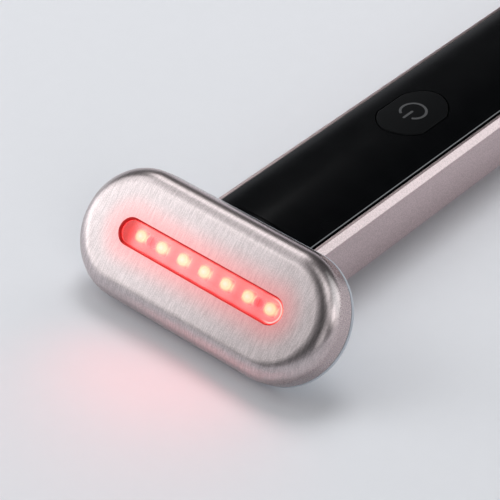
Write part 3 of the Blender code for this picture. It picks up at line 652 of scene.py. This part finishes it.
bm = bmesh.new()
raise_face(bm, pill_face(bm, head_width, head_height, neck_ceiling), (0, 0, head_height))
neck = bar(neck_radius, neck_start, neck_end)
combine(neck, finish_piece("trim", bm, pale_plastic, head_place), "DIFFERENCE")

bm = bmesh.new()
raise_face(bm, pill_face(bm, head_width, head_height), (0, 0, rim_depth))
round_edges(bm, list(flat_face(bm, 0.0).edges), rim_edge, 1)
cover = finish_piece("head_back_cover", bm, pale_plastic, head_place)
combine(cover, neck, "UNION")
combine(cover, bar(neck_bore, neck_start - mm, neck_end + mm), "DIFFERENCE")
attach(cover, "head", "back_cover")

# %% [markdown]
# ## The window and the diodes
#
# The window is a clear red bar with a flange that holds it under the shell. It is real glass to
# the shader: it bends what is seen through it, so the diodes look a little nearer than they are,
# and it dyes their light red. A weak red emission stands in for light that scatters in the bar.

# %% Red window
def nearest_led(local):
    """Distance from the middle of the nearest diode, measured in the plane of the face."""
    across, up = parts(local)[:2]
    number = (across / led_pitch).math("ROUND")
    number = number.math("MINIMUM", last_led).math("MAXIMUM", -last_led)
    beside = across - number * led_pitch
    return (beside * beside * 0.75 + up * up * 1.2).math("SQRT")


def red_window():
    material, local = head_material(
        "clear_red_lens", Transmission_Weight=1.0, IOR=1.49, Emission_Strength=0.4)
    across, up = parts(local)[:2]
    edge = slot_distance(across, up)
    cloud = grain(local, 1.6 * mm)
    # Painted shade: the left end is darkened to deep red, in the tint and in the emission.
    left_end_shade = 1.0 - (across * -1.0).fade(slot_length * 0.40, slot_length * 0.46)
    right_end = 1.0 - across.fade(slot_length * 0.40, slot_length * 0.47)
    high = 1.0 - up.fade(0.3 * mm, 1.3 * mm)

    # The tint of what shines through: lighter in the middle, and a painted shade of deep red at
    # the left end.
    clear = mix(cloud, (0.97, 0.185, 0.205), (0.98, 0.23, 0.255))
    clear = mix(high, clear, (0.72, 0.20, 0.21))
    tint = mix(left_end_shade, clear, (0.44, 0.006, 0.007))

    # The light that scatters: a painted shade as a dark outline, a painted highlight as a pale
    # band beside it, and a milky middle that is pinker in its upper half.
    milky = mix(high, (0.54, 0.14, 0.15), (0.42, 0.20, 0.19))
    scatter = mix(edge.fade(-0.4 * mm, -0.1 * mm), (0.45, 0.006, 0.008), milky)
    beside = (1.0 - edge.fade(-1.3 * mm, -0.7 * mm)) * edge.fade(-0.35 * mm, -0.10 * mm)
    scatter = mix(beside * (1.0 - right_end * 0.8), scatter, (0.34, 0.22, 0.22))
    scatter = mix(left_end_shade, scatter, (0.56, 0.02, 0.015))

    # A painted highlight: the bright line where the right end meets its rounded edge.
    outside = edge.fade(-0.42 * mm, -0.30 * mm).math("LESS_THAN", 0.5)
    painted_end_highlight = edge.fade(-0.22 * mm, -0.10 * mm) * outside
    return feed(
        material,
        Base_Color=tint,
        Roughness=cloud * 0.04 + 0.07,
        Emission_Color=mix(painted_end_highlight * right_end, scatter, (1.9, 1.1, 1.0)),
    )


flange_length = 33.8 * mm
flange_width = 6.6 * mm
flange_low = 4.4 * mm
flange_high = 4.9 * mm
lens_width = 3.8 * mm
lens_top = 5.75 * mm
lens_edge = 0.10 * mm

bm = bmesh.new()
base = pill_face(bm, flange_length, flange_width, flange_low)
top = raise_face(bm, base, (0, 0, flange_high - flange_low))
inset_face(bm, top, (flange_width - lens_width) / 2)
top = raise_face(bm, top, (0, 0, lens_top - flange_high))
round_edges(bm, list(top.edges), lens_edge, 3)
window = finish_piece("red_window_bar", bm, red_window(), head_place)
attach(window, "head", "window_lens")

# %% [markdown]
# Each diode is a small square body with a clear dome. Its hot middle is nearly white, and the
# colour falls through yellow to red within a millimetre. The light of the diodes on the white
# board under the row is painted on it as a red glow. The nearest-diode distance draws all seven
# at once.

# %% Lit diodes and the lit board
diode_glow = 1.22 * mm
board_glow_start = 0.6 * mm
board_glow_end = 3.4 * mm


def lit_diode():
    material, local = head_material(
        "lit_red_diode", Roughness=0.25, IOR=1.45, Emission_Strength=4.0)
    span = nearest_led(local) / diode_glow
    stops = [
        (0.0, (1.0, 0.96, 0.68)),
        (0.25, (1.0, 0.90, 0.52)),
        (0.55, (1.0, 0.80, 0.38)),
        (0.74, (0.85, 0.56, 0.27)),
        (0.90, (0.50, 0.28, 0.18)),
        (1.0, (0.26, 0.14, 0.12)),
    ]
    colour = add_node(local.tree, "ShaderNodeValToRGB", {"stops": stops}, {0: span})
    dome = mix(span, (1.0, 0.9, 0.7), (0.8, 0.5, 0.45))
    return feed(material, Base_Color=dome, Emission_Color=colour)


def lit_board():
    material, local = head_material("white_board", Roughness=0.4, IOR=1.5, Emission_Strength=1.0)
    # Painted light: the diodes' light on the board, as an emission that is brightest by each
    # diode.
    near = nearest_led(local).fade(board_glow_start, board_glow_end)
    cloud = grain(local, 1.2 * mm)
    painted_diode_light = mix(near, (0.42, 0.05, 0.05), (1.0, 0.55, 0.52))
    return feed(
        material,
        Base_Color=mix(cloud, (0.74, 0.74, 0.72), (0.84, 0.84, 0.82)),
        Emission_Color=painted_diode_light,
    )


def dress(nodes, material):
    """Gives solid pieces that keep their shape a finer finish."""
    for node in nodes:
        frame["nodes"][node].data.materials[0] = material
    print(material.name, "on", len(nodes), "pieces")


dress(["led_" + str(number) for number in range(1, 2 * last_led + 2)], lit_diode())
dress(["led_board"], lit_board())

# %% [markdown]
# The two screws of the board sit between the end diodes. The light of the row on their rims is
# painted on as a red glow, and the recess in the middle of each head gets only a dim one, a
# painted shade.

# %% Screw heads in the light
screw_place = 2.5 * led_pitch
recess_start = 0.50 * mm
recess_end = 0.72 * mm


def lit_screw():
    material, local = head_material(
        "bright_steel_lit", Roughness=0.4, Metallic=1.0, Emission_Strength=1.0)
    across, up = parts(local)[:2]
    beside = across.math("ABSOLUTE") - screw_place
    reach = (beside * beside + up * up).math("SQRT")
    tone = mix(grain(local, 0.15 * mm), (0.40, 0.40, 0.41), (0.58, 0.58, 0.59))
    # Painted light: the row's light on the rims as an emission, dim over the recess as painted
    # shade.
    painted_diode_light = mix(reach.fade(recess_start, recess_end), (0.82, 0.38, 0.36), (0.34, 0.014, 0.014))
    return feed(material, Base_Color=tone, Emission_Color=painted_diode_light)


dress(["led_board_screw_1", "led_board_screw_2"], lit_screw())

# %% [markdown]
# ## The handle
#
# The housing is a trough that a press pushes out through a die, so it has one section from end
# to end. Half of that section is traced as a walk: a move is a corner to go to, or a centre and
# an angle to swing round. It is mirrored, filled and raised along y. Real edges are never
# perfectly sharp, so the outer ones get a hair of rounding that catches the light.

# %% Walking round a section
arc_steps = 20


def walk(bm, start, moves):
    """Draws an outline across y. An arc is given as centre x, centre z and angle."""
    last = bm.verts.new((start[0], 0.0, start[1]))
    for move in moves:
        if len(move) == 2:
            spot = bm.verts.new((move[0], 0.0, move[1]))
            bm.edges.new((last, spot))
            last = spot
        else:
            centre = (move[0], 0.0, move[1])
            last = swing(bm, last, centre, (0.0, 1.0, 0.0), move[2], arc_steps)


def outer_walk():
    """The flat land, the round belly, the side and the chamfer, up to the lip."""
    return [
        (land_half, 0.0),
        (land_half, belly_radius, -asin(belly_run / belly_radius)),
        (half_handle, side_top),
        (half_handle - chamfer, lip_height),
        (pocket_half, lip_height),
    ]


def edges_along(bm, x, z):
    """Long edges of a section at this corner, on both sides."""
    spots = [v for v in bm.verts if abs(abs(v.co.x) - x) < tiny and abs(v.co.z - z) < tiny]
    return [edge for edge in bm.edges if all(v in spots for v in edge.verts)]


hair = 0.05 * mm
inner_half = half_handle - housing_wall
inner_turn = asin((belly_run - housing_wall) / (belly_radius - housing_wall))
inner_side = belly_radius - (belly_radius - housing_wall) * cos(inner_turn)

bm = bmesh.new()
walk(bm, (0.0, 0.0), outer_walk() + [
    (pocket_half, ledge_top),
    (pocket_half - ledge_reach, ledge_top),
    (pocket_half - ledge_reach, ledge_bottom),
    (inner_half, ledge_bottom),
    (inner_half, inner_side),
    (land_half, belly_radius, inner_turn),
    (0.0, housing_wall),
])
raise_face(bm, mirrored_face(bm), (0, housing_length, 0))
outer_edges = [edge for x, z in outer_walk()[-3:] for edge in edges_along(bm, x, z)]
round_edges(bm, outer_edges, hair, 2)
along_housing = Matrix.Translation((0, housing_start, 0))
trough = finish_piece("handle_trough", bm, blasted, along_housing)

# %% [markdown]
# Two posts stand on the trough's floor under the main board, and four blind holes take the
# screws of the board and of the swivel block. The screws are in the solid model, so their boxes
# say where the holes go.

# %% Posts and screw holes
def peg(radius, spot, low, high):
    """Upright round solid between two heights."""
    place = Matrix.Translation((spot.x, spot.y, (low + high) / 2))
    return round_solid(radius, radius, high - low, 32, place)


fit_gap = 0.3 * mm
film_gap = 0.1 * mm
post_radius = 1.5 * mm
screw_hole = 0.55 * mm
board_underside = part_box("main_board")[0].z

for name in ("main_board_screw_1", "main_board_screw_2", "block_screw_1", "block_screw_2"):
    low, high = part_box(name)
    spot = (low + high) / 2
    if name.startswith("main"):
        post = peg(post_radius, spot, housing_wall / 2, board_underside - film_gap)
        combine(trough, post, "UNION")
    combine(trough, peg(screw_hole, spot, low.z - fit_gap, high.z), "DIFFERENCE")
attach(trough, "handle", "handle_housing")

# %% [markdown]
# ## The black front
#
# The front is a crowned strip of glossy black plastic with a skirt down each side. The crown is
# an arc about an axis far below the handle. A shine on it shows every flat, so the arc has many
# steps. Its lower edge has a small round that shows as a thin grey line.

# %% Glossy black plastic
polish_reach = 0.13 * mm


def glossy_black():
    material, place = new_material("gloss_black_cover", IOR=1.5, Specular_IOR_Level=0.07)
    haze = grain(place, 4.0 * mm, 3.0)
    dust = grain(place, 0.5 * mm)
    across, up = parts(place)[::2]
    on_top = across.math("ABSOLUTE").fade(panel_half - polish_reach, panel_half - 0.07 * mm)
    on_skirt = up.fade(panel_edge - polish_reach, panel_edge - 0.10 * mm)
    polished = (1.0 - on_top) * (1.0 - on_skirt)
    deep = mix(haze, (0.0016, 0.0018, 0.0022), (0.0030, 0.0033, 0.0038))
    return feed(
        material,
        Base_Color=mix(polished, deep, (0.15, 0.15, 0.155)),
        Metallic=polished,
        Roughness=haze * 0.08 + dust * 0.05 + 0.14,
        Normal=bump(dust, 0.0006 * mm, 0.4),
    )


front_finish = glossy_black()
key_finish = moulded_plastic(
    "satin_black_key", (0.0046, 0.0050, 0.0056), (0.0022, 0.0024, 0.0028), 0.40,
    texture=0.12 * mm, clouded=0.0, reflection=0.06,
)

# %% Front panel
panel_edge_round = 0.14 * mm
skirt_half = panel_half - panel_wall
arch_radius = crown_radius - panel_wall
crown_turn = asin(panel_half / crown_radius)
arch_turn = asin(skirt_half / arch_radius)
arch_side = crown_middle + arch_radius * cos(arch_turn)

bm = bmesh.new()
walk(bm, (0.0, crown_top), [
    (0.0, crown_middle, crown_turn),
    (panel_half, skirt_bottom),
    (skirt_half, skirt_bottom),
    (skirt_half, arch_side),
    (0.0, crown_middle, -arch_turn),
])
raise_face(bm, mirrored_face(bm), (0, housing_length, 0))
round_edges(bm, edges_along(bm, panel_half, panel_edge), panel_edge_round, 4)
panel = finish_piece("black_front_panel", bm, front_finish, along_housing)

# %% [markdown]
# The key is an oval with its two sides cut straight. It starts as a circle that is stretched
# into an ellipse, and two planes trim it. The hole in the panel is the same outline, a gap
# wider, so one function makes both.

# %% Key outline and its hole
key_place = -19.6674 * mm
key_length = 13.1 * mm
key_width = 8.9 * mm
key_round_width = 10.0 * mm
key_gap = 0.2 * mm
key_stand = 0.1 * mm
key_edge = 0.2 * mm
key_depth = 1.0 * mm


def slice_at(bm, x, side=1, trim=False):
    """Cuts a shape at this x, and trims off what lies beyond if asked to."""
    bmesh.ops.bisect_plane(
        bm, geom=bm.verts[:] + bm.edges[:] + bm.faces[:], dist=tiny / 10,
        plane_co=(x, 0, 0), plane_no=(side, 0, 0), clear_outer=trim,
    )


def key_face(bm, reach):
    """Oval face with straight sides, grown outwards by a reach."""
    bmesh.ops.create_circle(bm, cap_ends=True, segments=96, radius=1.0)
    size = (key_round_width / 2 + reach, key_length / 2 + reach, 1.0)
    bmesh.ops.scale(bm, vec=size, verts=bm.verts)
    for side in (1, -1):
        slice_at(bm, side * (key_width / 2 + reach), side, trim=True)
    return bm.faces[:][0]


bm = bmesh.new()
raise_face(bm, key_face(bm, key_gap), (0, 0, crown_top))
key_centre = Matrix.Translation((0, key_place, ledge_top))
combine(panel, finish_piece("key_hole", bm, front_finish, key_centre), "DIFFERENCE")
attach(panel, "handle", "front_panel")

# %% [markdown]
# The top of the key follows the crown of the panel. The oval is raised flat and its rim is
# rounded. Then planes slice it into strips, and each vertex moves to the crown's height at its
# place.

# %% Power key
key_strips = 24


def follow_crown(bm, lift):
    """Raises each vertex by the height of the crown at its place, and by a lift."""
    for vertex in bm.verts:
        vertex.co.z += crown_middle + sqrt(crown_radius ** 2 - vertex.co.x ** 2) + lift


bm = bmesh.new()
top = raise_face(bm, key_face(bm, 0.0), (0, 0, key_depth))
round_edges(bm, list(top.edges), key_edge, 4)
for number in range(1, key_strips):
    slice_at(bm, key_width / 2 * (2 * number / key_strips - 1))
follow_crown(bm, key_stand - key_depth)
key = finish_piece("power_key", bm, key_finish, Matrix.Translation((0, key_place, 0)))
attach(key, "button", "power_button")

# %% [markdown]
# The power sign is printed on the key in grey ink: a ring that is open towards the head, and a
# stroke in the opening. Ink has next to no thickness, but a flat patch on a curved key would
# cut into it. So a thin bar is spun into the ring, a pill makes the stroke, and both follow the
# crown.

# %% Printed power sign
def printed_ink():
    material, place = new_material("grey_ink", IOR=1.45)
    speckle = grain(place, 0.08 * mm)
    return feed(
        material,
        Base_Color=mix(speckle, (0.040, 0.041, 0.044), (0.066, 0.068, 0.072)),
        Roughness=speckle * 0.1 + 0.5,
    )


sign_radius = 2.06 * mm
sign_stroke = 0.41 * mm
sign_ink = 0.02 * mm
sign_opening = radians(62)
sign_shift = 0.23 * mm
stroke_length = 2.5 * mm
stroke_shift = -1.35 * mm
origin = (0, 0, 0)

bm = bmesh.new()
inner, outer = sign_radius - sign_stroke / 2, sign_radius + sign_stroke / 2
section = ((inner, 0), (outer, 0), (outer, sign_ink), (inner, sign_ink))
end = bm.faces.new([bm.verts.new((x, 0, z)) for x, z in section])
start_turn = Matrix.Rotation(-pi / 2 + sign_opening / 2, 3, "Z")
bmesh.ops.rotate(bm, cent=origin, matrix=start_turn, verts=bm.verts)
bmesh.ops.spin(
    bm, geom=[end], cent=origin, axis=(0, 0, 1), angle=2 * pi - sign_opening, steps=64,
    use_merge=False,
)
stroke = bmesh.new()
raise_face(stroke, pill_face(stroke, stroke_length, sign_stroke, steps=8), (0, 0, sign_ink))
upright = Matrix.Rotation(pi / 2, 3, "Z")
bmesh.ops.rotate(stroke, cent=origin, matrix=upright, verts=stroke.verts)
bmesh.ops.translate(stroke, vec=(0, stroke_shift, 0), verts=stroke.verts)
bm.from_mesh(new_mesh("stroke", stroke))
follow_crown(bm, key_stand)
sign_spot = Matrix.Translation((0, key_place + sign_shift, 0))
attach(finish_piece("power_sign", bm, printed_ink(), sign_spot), "button")

# %% [markdown]
# ## The ends of the handle
#
# Both end caps have the outline of the whole handle, crown and all. The front cap is a short
# collar with a cone, from which the swivel comes out. The tail cap is drawn in towards its
# middle over the last millimetres: the end face is extruded and shrunk a little many times.

# %% End caps
middle_height = crown_top / 2
nose_reach = 2.3 * mm
nose_tip = 3.58 * mm
nose_root = 5.9 * mm
bushing_hole = 2.88 * mm
front_cap_depth = 1.6 * mm
front_cap_edge = 0.3 * mm
tail_start = handle_end - 9.0 * mm
tail_round = 2.6 * mm
round_steps = 14


def whole_section(bm, place):
    """Face with the outline of the whole handle, across y at this place."""
    walk(bm, (0.0, 0.0), outer_walk() + [
        (panel_half, panel_edge),
        (0.0, crown_middle, -crown_turn),
    ])
    face = mirrored_face(bm)
    bmesh.ops.translate(bm, vec=(0, place, 0), verts=bm.verts)
    return face


def draw_in(bm, face, forward, before, after):
    """Extrudes a face along y and shrinks it from one inset to another."""
    face = raise_face(bm, face, (0, forward, 0))
    width = (half_handle - after) / (half_handle - before)
    height = (middle_height - after) / (middle_height - before)
    centre = Matrix.Translation((0, 0, -middle_height))
    bmesh.ops.scale(bm, vec=(width, 1, height), space=centre, verts=face.verts)
    return face


bm = bmesh.new()
face = whole_section(bm, handle_front + front_cap_edge)
raise_face(bm, face, (0, front_cap_depth - front_cap_edge, 0))
front = min(bm.faces, key=lambda f: f.calc_center_median().y)
draw_in(bm, front, -front_cap_edge, 0.0, front_cap_edge)
collar = finish_piece("front_collar", bm, front_finish)
nose_start = handle_front - nose_reach
combine(collar, bar(nose_tip, nose_start, handle_front + mm, nose_root), "UNION")
combine(collar, bar(bushing_hole, nose_start - mm, handle_front + 3 * mm), "DIFFERENCE")
attach(collar, "handle", "front_cap")

bm = bmesh.new()
face = whole_section(bm, tail_start)
face = raise_face(bm, face, (0, handle_end - tail_round - tail_start, 0))
before, along = 0.0, 0.0
for step in range(1, round_steps + 1):
    turn = pi / 2 * step / round_steps
    after = tail_round * (1 - cos(turn))
    face = draw_in(bm, face, tail_round * sin(turn) - along, before, after)
    before, along = after, tail_round * sin(turn)
tail = finish_piece("round_tail_cap", bm, blasted)

# %% [markdown]
# The charging port is a pill-shaped opening in the tail. The cap is hollow behind it, with room
# for the socket and the end of the board, and a square tongue that fits into the trough. The
# tongue is joined on, and then the room and the opening are cut.

# %% Charging port
def block(low, high):
    """Square solid between two corners."""
    bm = bmesh.new()
    bmesh.ops.create_cube(bm, size=1.0)
    bmesh.ops.scale(bm, vec=high - low, verts=bm.verts)
    return finish_piece("block", bm, blasted, Matrix.Translation((low + high) / 2))


cap_wall = 1.6 * mm
cap_floor = 2.2 * mm
tongue_half = inner_half - fit_gap
tongue_top = ledge_bottom - fit_gap
tongue_wall = 0.8 * mm
tongue_reach = 3.0 * mm
tongue_height = 4.0 * mm
socket_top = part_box("usb_socket")[1].z
tongue = block(
    Vector((-tongue_half, tail_start - tongue_reach, tongue_top - tongue_height)),
    Vector((tongue_half, tail_start + cap_wall, tongue_top)),
)
room_half = tongue_half - tongue_wall
room = block(
    Vector((-room_half, tail_start - tongue_reach - mm, cap_floor)),
    Vector((room_half, handle_end - cap_wall, socket_top + fit_gap)),
)
combine(tail, tongue, "UNION")
combine(tail, room, "DIFFERENCE")

port_length = 9.5 * mm
port_width = 3.8 * mm
port_depth = 2.6 * mm
port_height = sum(corner.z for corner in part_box("usb_socket")) / 2

bm = bmesh.new()
raise_face(bm, pill_face(bm, port_length, port_width, steps=24), (0, 0, -port_depth - mm))
facing_back = Matrix.Rotation(-pi / 2, 4, "X")
port_spot = Matrix.Translation((0, handle_end + mm, port_height)) @ facing_back
combine(tail, finish_piece("port", bm, blasted, port_spot), "DIFFERENCE")
attach(tail, "handle", "tail_cap")

# %% [markdown]
# ## What is inside
#
# The small parts keep the shapes of the solid model: screws, boards, battery, motor and leads.
# A table gives each its finish. Steel is lightly brushed, rubber and foam are rough, and the
# boards have a weave under the lacquer.

# %% Finishes of the inner parts
def metal(name, light, dark, roughness, size=0.12 * mm):
    material, place = new_material(name, Metallic=1.0)
    lines = grain(place, size, 2.0, (1.0, 1.0, 6.0))
    return feed(
        material,
        Base_Color=mix(lines, dark, light),
        Roughness=lines * 0.16 + roughness,
        Normal=bump(lines, 0.003 * mm, 0.4),
    )


thread_turns = 2 * pi / (0.5 * mm)


def board_lacquer(name, light, dark):
    material, place = new_material(name, IOR=1.5, Coat_Weight=0.3)
    across, along = [(axis * thread_turns).math("SINE") for axis in parts(place)[:2]]
    weave = across * along * 0.5 + 0.5
    return feed(
        material,
        Base_Color=mix(weave * 0.4 + grain(place, 1.5 * mm) * 0.6, dark, light),
        Roughness=weave * 0.08 + 0.34,
        Normal=bump(weave, 0.004 * mm, 0.4),
    )


# Each row: the maker of the finish, its light and dark colour, its roughness and grain.
finishes = {
    "bright_steel": (metal, (0.66, 0.66, 0.67), (0.50, 0.50, 0.52), 0.22),
    "brass_weight": (metal, (0.80, 0.62, 0.33), (0.62, 0.46, 0.22), 0.28),
    "black_rubber": (moulded_plastic, (0.035,) * 3, (0.020,) * 3, 0.72),
    "dark_plastic": (moulded_plastic, (0.07, 0.07, 0.075), (0.045, 0.045, 0.05), 0.44),
    "black_acetal": (moulded_plastic, (0.045,) * 3, (0.030,) * 3, 0.34),
    "grey_foam": (
        moulded_plastic, (0.30, 0.30, 0.31), (0.14, 0.14, 0.15), 0.84, 0.35 * mm, 0.08 * mm,
    ),
    "green_board": (board_lacquer, (0.03, 0.20, 0.10), (0.015, 0.10, 0.05)),
    "silver_battery_wrap": (metal, (0.72, 0.73, 0.75), (0.55, 0.56, 0.58), 0.26, 1.4 * mm),
    "white_lead_coat": (moulded_plastic, (0.80, 0.79, 0.77), (0.68, 0.67, 0.65), 0.46),
    "red_lead_coat": (moulded_plastic, (0.66, 0.06, 0.05), (0.48, 0.035, 0.03), 0.42),
    "black_lead_coat": (moulded_plastic, (0.04,) * 3, (0.02,) * 3, 0.42),
}


def nodes_in(slot):
    """Solid pieces that still show and have the finish of this name."""
    return [
        node for node, thing in frame["nodes"].items()
        if not thing.hide_render and material_slot(node).split(".")[0] == slot
    ]


for slot, (make, *values) in finishes.items():
    dress(nodes_in(slot), make(slot, *values))
dress(nodes_in("satin_black_key"), key_finish)

# %% [markdown]
# ## The floor, the lamps and the air
#
# The wand lies on a plain pale floor with a faint speckle, so it reads as a surface. The lamps
# only reach the middle of it. Further out the floor slowly takes on the colour of the backdrop
# by itself, so it stays as pale as in the middle.

# %% Floor
backdrop = (0.716, 0.730, 0.767)
floor_radius = 3.0
lit_reach = 0.10
glow_reach = 0.70


def pale_floor():
    material, place = new_material(
        "pale_floor", IOR=1.4, Specular_IOR_Level=0.3, Emission_Strength=1.0)
    across, along = parts(place)[:2]
    distance = (across * across + along * along).math("SQRT")
    near = distance.fade(lit_reach, glow_reach)
    speckle = grain(place, 3.0 * mm)
    pale = mix(speckle, (0.712, 0.727, 0.765), (0.728, 0.743, 0.782))
    return feed(
        material,
        Base_Color=mix(near, black, pale),
        Roughness=speckle * 0.1 + 0.55,
        Emission_Color=mix(near, backdrop, black),
    )


bm = bmesh.new()
bmesh.ops.create_circle(bm, cap_ends=True, segments=96, radius=floor_radius)
floor = add_object("floor", new_mesh("floor", bm))
floor.data.materials.append(pale_floor())
print("floor", 2 * floor_radius, "m across")

# %% [markdown]
# Polished and brushed metal is a picture of its surroundings. So a photographer first lights the
# scene softly, and then puts bright cards where the metal mirrors them. The same two jobs are
# kept apart here: some lamps only light what they fall on, and some are only seen in reflections.

# %% Lamps
aim = Vector((0.0, -55.0, 10.0)) * mm
far_ring = 0.9
near_ring = 0.2


def area_lamp(name, watts, width, height):
    """Flat lamp that lights, but is not seen itself."""
    light = bpy.data.lights.new(name, "AREA")
    light.shape = "RECTANGLE"
    light.size, light.size_y = width, height
    light.energy = watts
    lamp = add_object(name, light)
    lamp.visible_camera = False
    return lamp


def ring_lamp(name, distance, card, azimuth, height, watts, size=0.30):
    """Square lamp at two angles to its aim. A card is one that only shows in gloss."""
    lamp = area_lamp(name, watts, size, size)
    turn, rise = radians(azimuth), radians(height)
    back = Vector((sin(turn) * cos(rise), -cos(turn) * cos(rise), sin(rise)))
    lamp.location = aim + back * distance
    lamp.rotation_euler = back.to_track_quat("Z", "Y").to_euler()
    lamp.visible_diffuse = not card
    lamp.visible_glossy = card


# Each row: degrees round the aim, degrees up, watts, and the size where it isn't 0.3 m.
lights = {
    "back_light": (210, 58, 3.42, 0.40),
    "front_light": (300, 35, 2.26, 0.50),
    "right_light": (60, 35, 1.45, 0.50),
    "tail_light": (180, 35, 1.02, 0.50),
    "left_light": (270, 58, 0.87, 0.40),
}
cards = {
    "chamfer_card": (135, 32, 1.85, 0.70),
    "side_card": (98, 33, 0.70),
    "left_rim_card": (300, 19, 0.60),
    "shoulder_card": (232, 48, 0.69),
    "low_rim_card": (284, 7, 0.38),
    "corner_card": (111, 68, 0.36),
    "top_corner_card": (75, 73, 0.34),
    "overhead_card": (190, 82, 0.25),
    "ridge_card": (108, 14, 0.25),
    "end_corner_card": (74, 50, 0.34),
    "right_end_card": (52, 26, 0.34),
    "low_face_card": (316, 12, 0.20),
    "back_shoulder_card": (256, 57, 0.30),
    "high_face_card": (310, 47, 0.25),
    "high_left_card": (287, 57, 0.25),
    "low_chamfer_card": (140, 24, 0.20),
    "face_card": (326, 30, 0.19, 0.36),
    "lip_card": (225, 40, 0.092, 0.60),
    "high_right_card": (337, 50, 0.067),
    "right_face_card": (350, 38, 0.047),
}
near_cards = {
    "near_face_card": (315, 38, 0.0232, 0.07),
    "near_high_card": (285, 40, 0.0220, 0.07),
    "near_low_card": (315, 20, 0.0185, 0.07),
    "near_left_card": (285, 20, 0.0174, 0.07),
}
rings = ((lights, far_ring, False), (cards, far_ring, True), (near_cards, near_ring, True))
for table, distance, card in rings:
    for name, row in table.items():
        ring_lamp(name, distance, card, *row)
bpy.data.lights["chamfer_card"].color = (0.91, 1.0, 1.0)
print("lamps:", len(lights), "lights and", len(cards) + len(near_cards), "cards")

# %% [markdown]
# The air of the studio is the world. It lights everything softly, more from the sides than from
# above, which fills the shadows. Seen directly, in metal or through glass, it is the pale colour
# of the backdrop near the horizon and dark overhead, like a studio's ceiling.

# %% World
ceiling_glow = 0.06
air_high = 0.20
air_low = 0.56
horizon = (0.08, 0.25)
sides = (0.15, 0.60)

world = bpy.data.worlds.new("studio")
bpy.context.scene.world = world
world.use_nodes = True
tree = world.node_tree
sky = tree.nodes["Background"]
rays = add_node(tree, "ShaderNodeLightPath").socket.node.outputs
seen = Signal(rays["Is Camera Ray"])
for kind in ("Is Glossy Ray", "Is Transmission Ray"):
    seen = seen.math("MAXIMUM", Signal(rays[kind]))
up = parts(add_node(tree, "ShaderNodeTexCoord", output="Generated"))[2]
shown = mix_number(up.fade(*horizon), ceiling_glow, 1.0)
air = mix_number(up.fade(*sides), air_high, air_low)
tree.links.new(mix_number(seen, air, shown).socket, sky.inputs["Strength"])
tree.links.new(mix(seen, (1.0, 1.0, 1.0), backdrop).socket, sky.inputs["Color"])
print("world set")

# %% [markdown]
# The diodes are too small to light the floor evenly by themselves, so a red lamp stands in for
# their beam. It hangs just in front of the window, aims at the floor and spreads less than a
# bare lamp, which leaves a soft oval on the floor. A second, much weaker one looks straight down
# and reddens the shadow under the head. Both turn with the head.

# %% Red beam
beam_start = Vector((0.0, -73.7, 15.5)) * mm
beam_end = Vector((4.5, -87.0, 0.0)) * mm
beam_watts = 0.00078
beam_spread = radians(90)
spill_place = Vector((0.0, -73.0, 7.0)) * mm
spill_watts = 0.00020


def red_lamp(name, watts, width, height, place):
    """Red lamp that turns with the head and is not mirrored in it."""
    lamp = area_lamp(name, watts, width, height)
    lamp.data.color = (1.0, 0.06, 0.06)
    lamp.matrix_world = place
    lamp.visible_glossy = False
    lamp.visible_transmission = False
    lamp.parent = frame["bodies"]["head"]
    return lamp


back = (beam_start - beam_end).to_track_quat("Z", "Y").to_matrix().to_4x4()
beam_place = Matrix.Translation(beam_start) @ back
beam = red_lamp("red_beam", beam_watts, 30 * mm, 6 * mm, beam_place)
beam.data.spread = beam_spread
red_lamp("red_spill", spill_watts, 36 * mm, 3 * mm, Matrix.Translation(spill_place))
print("beam and spill set")
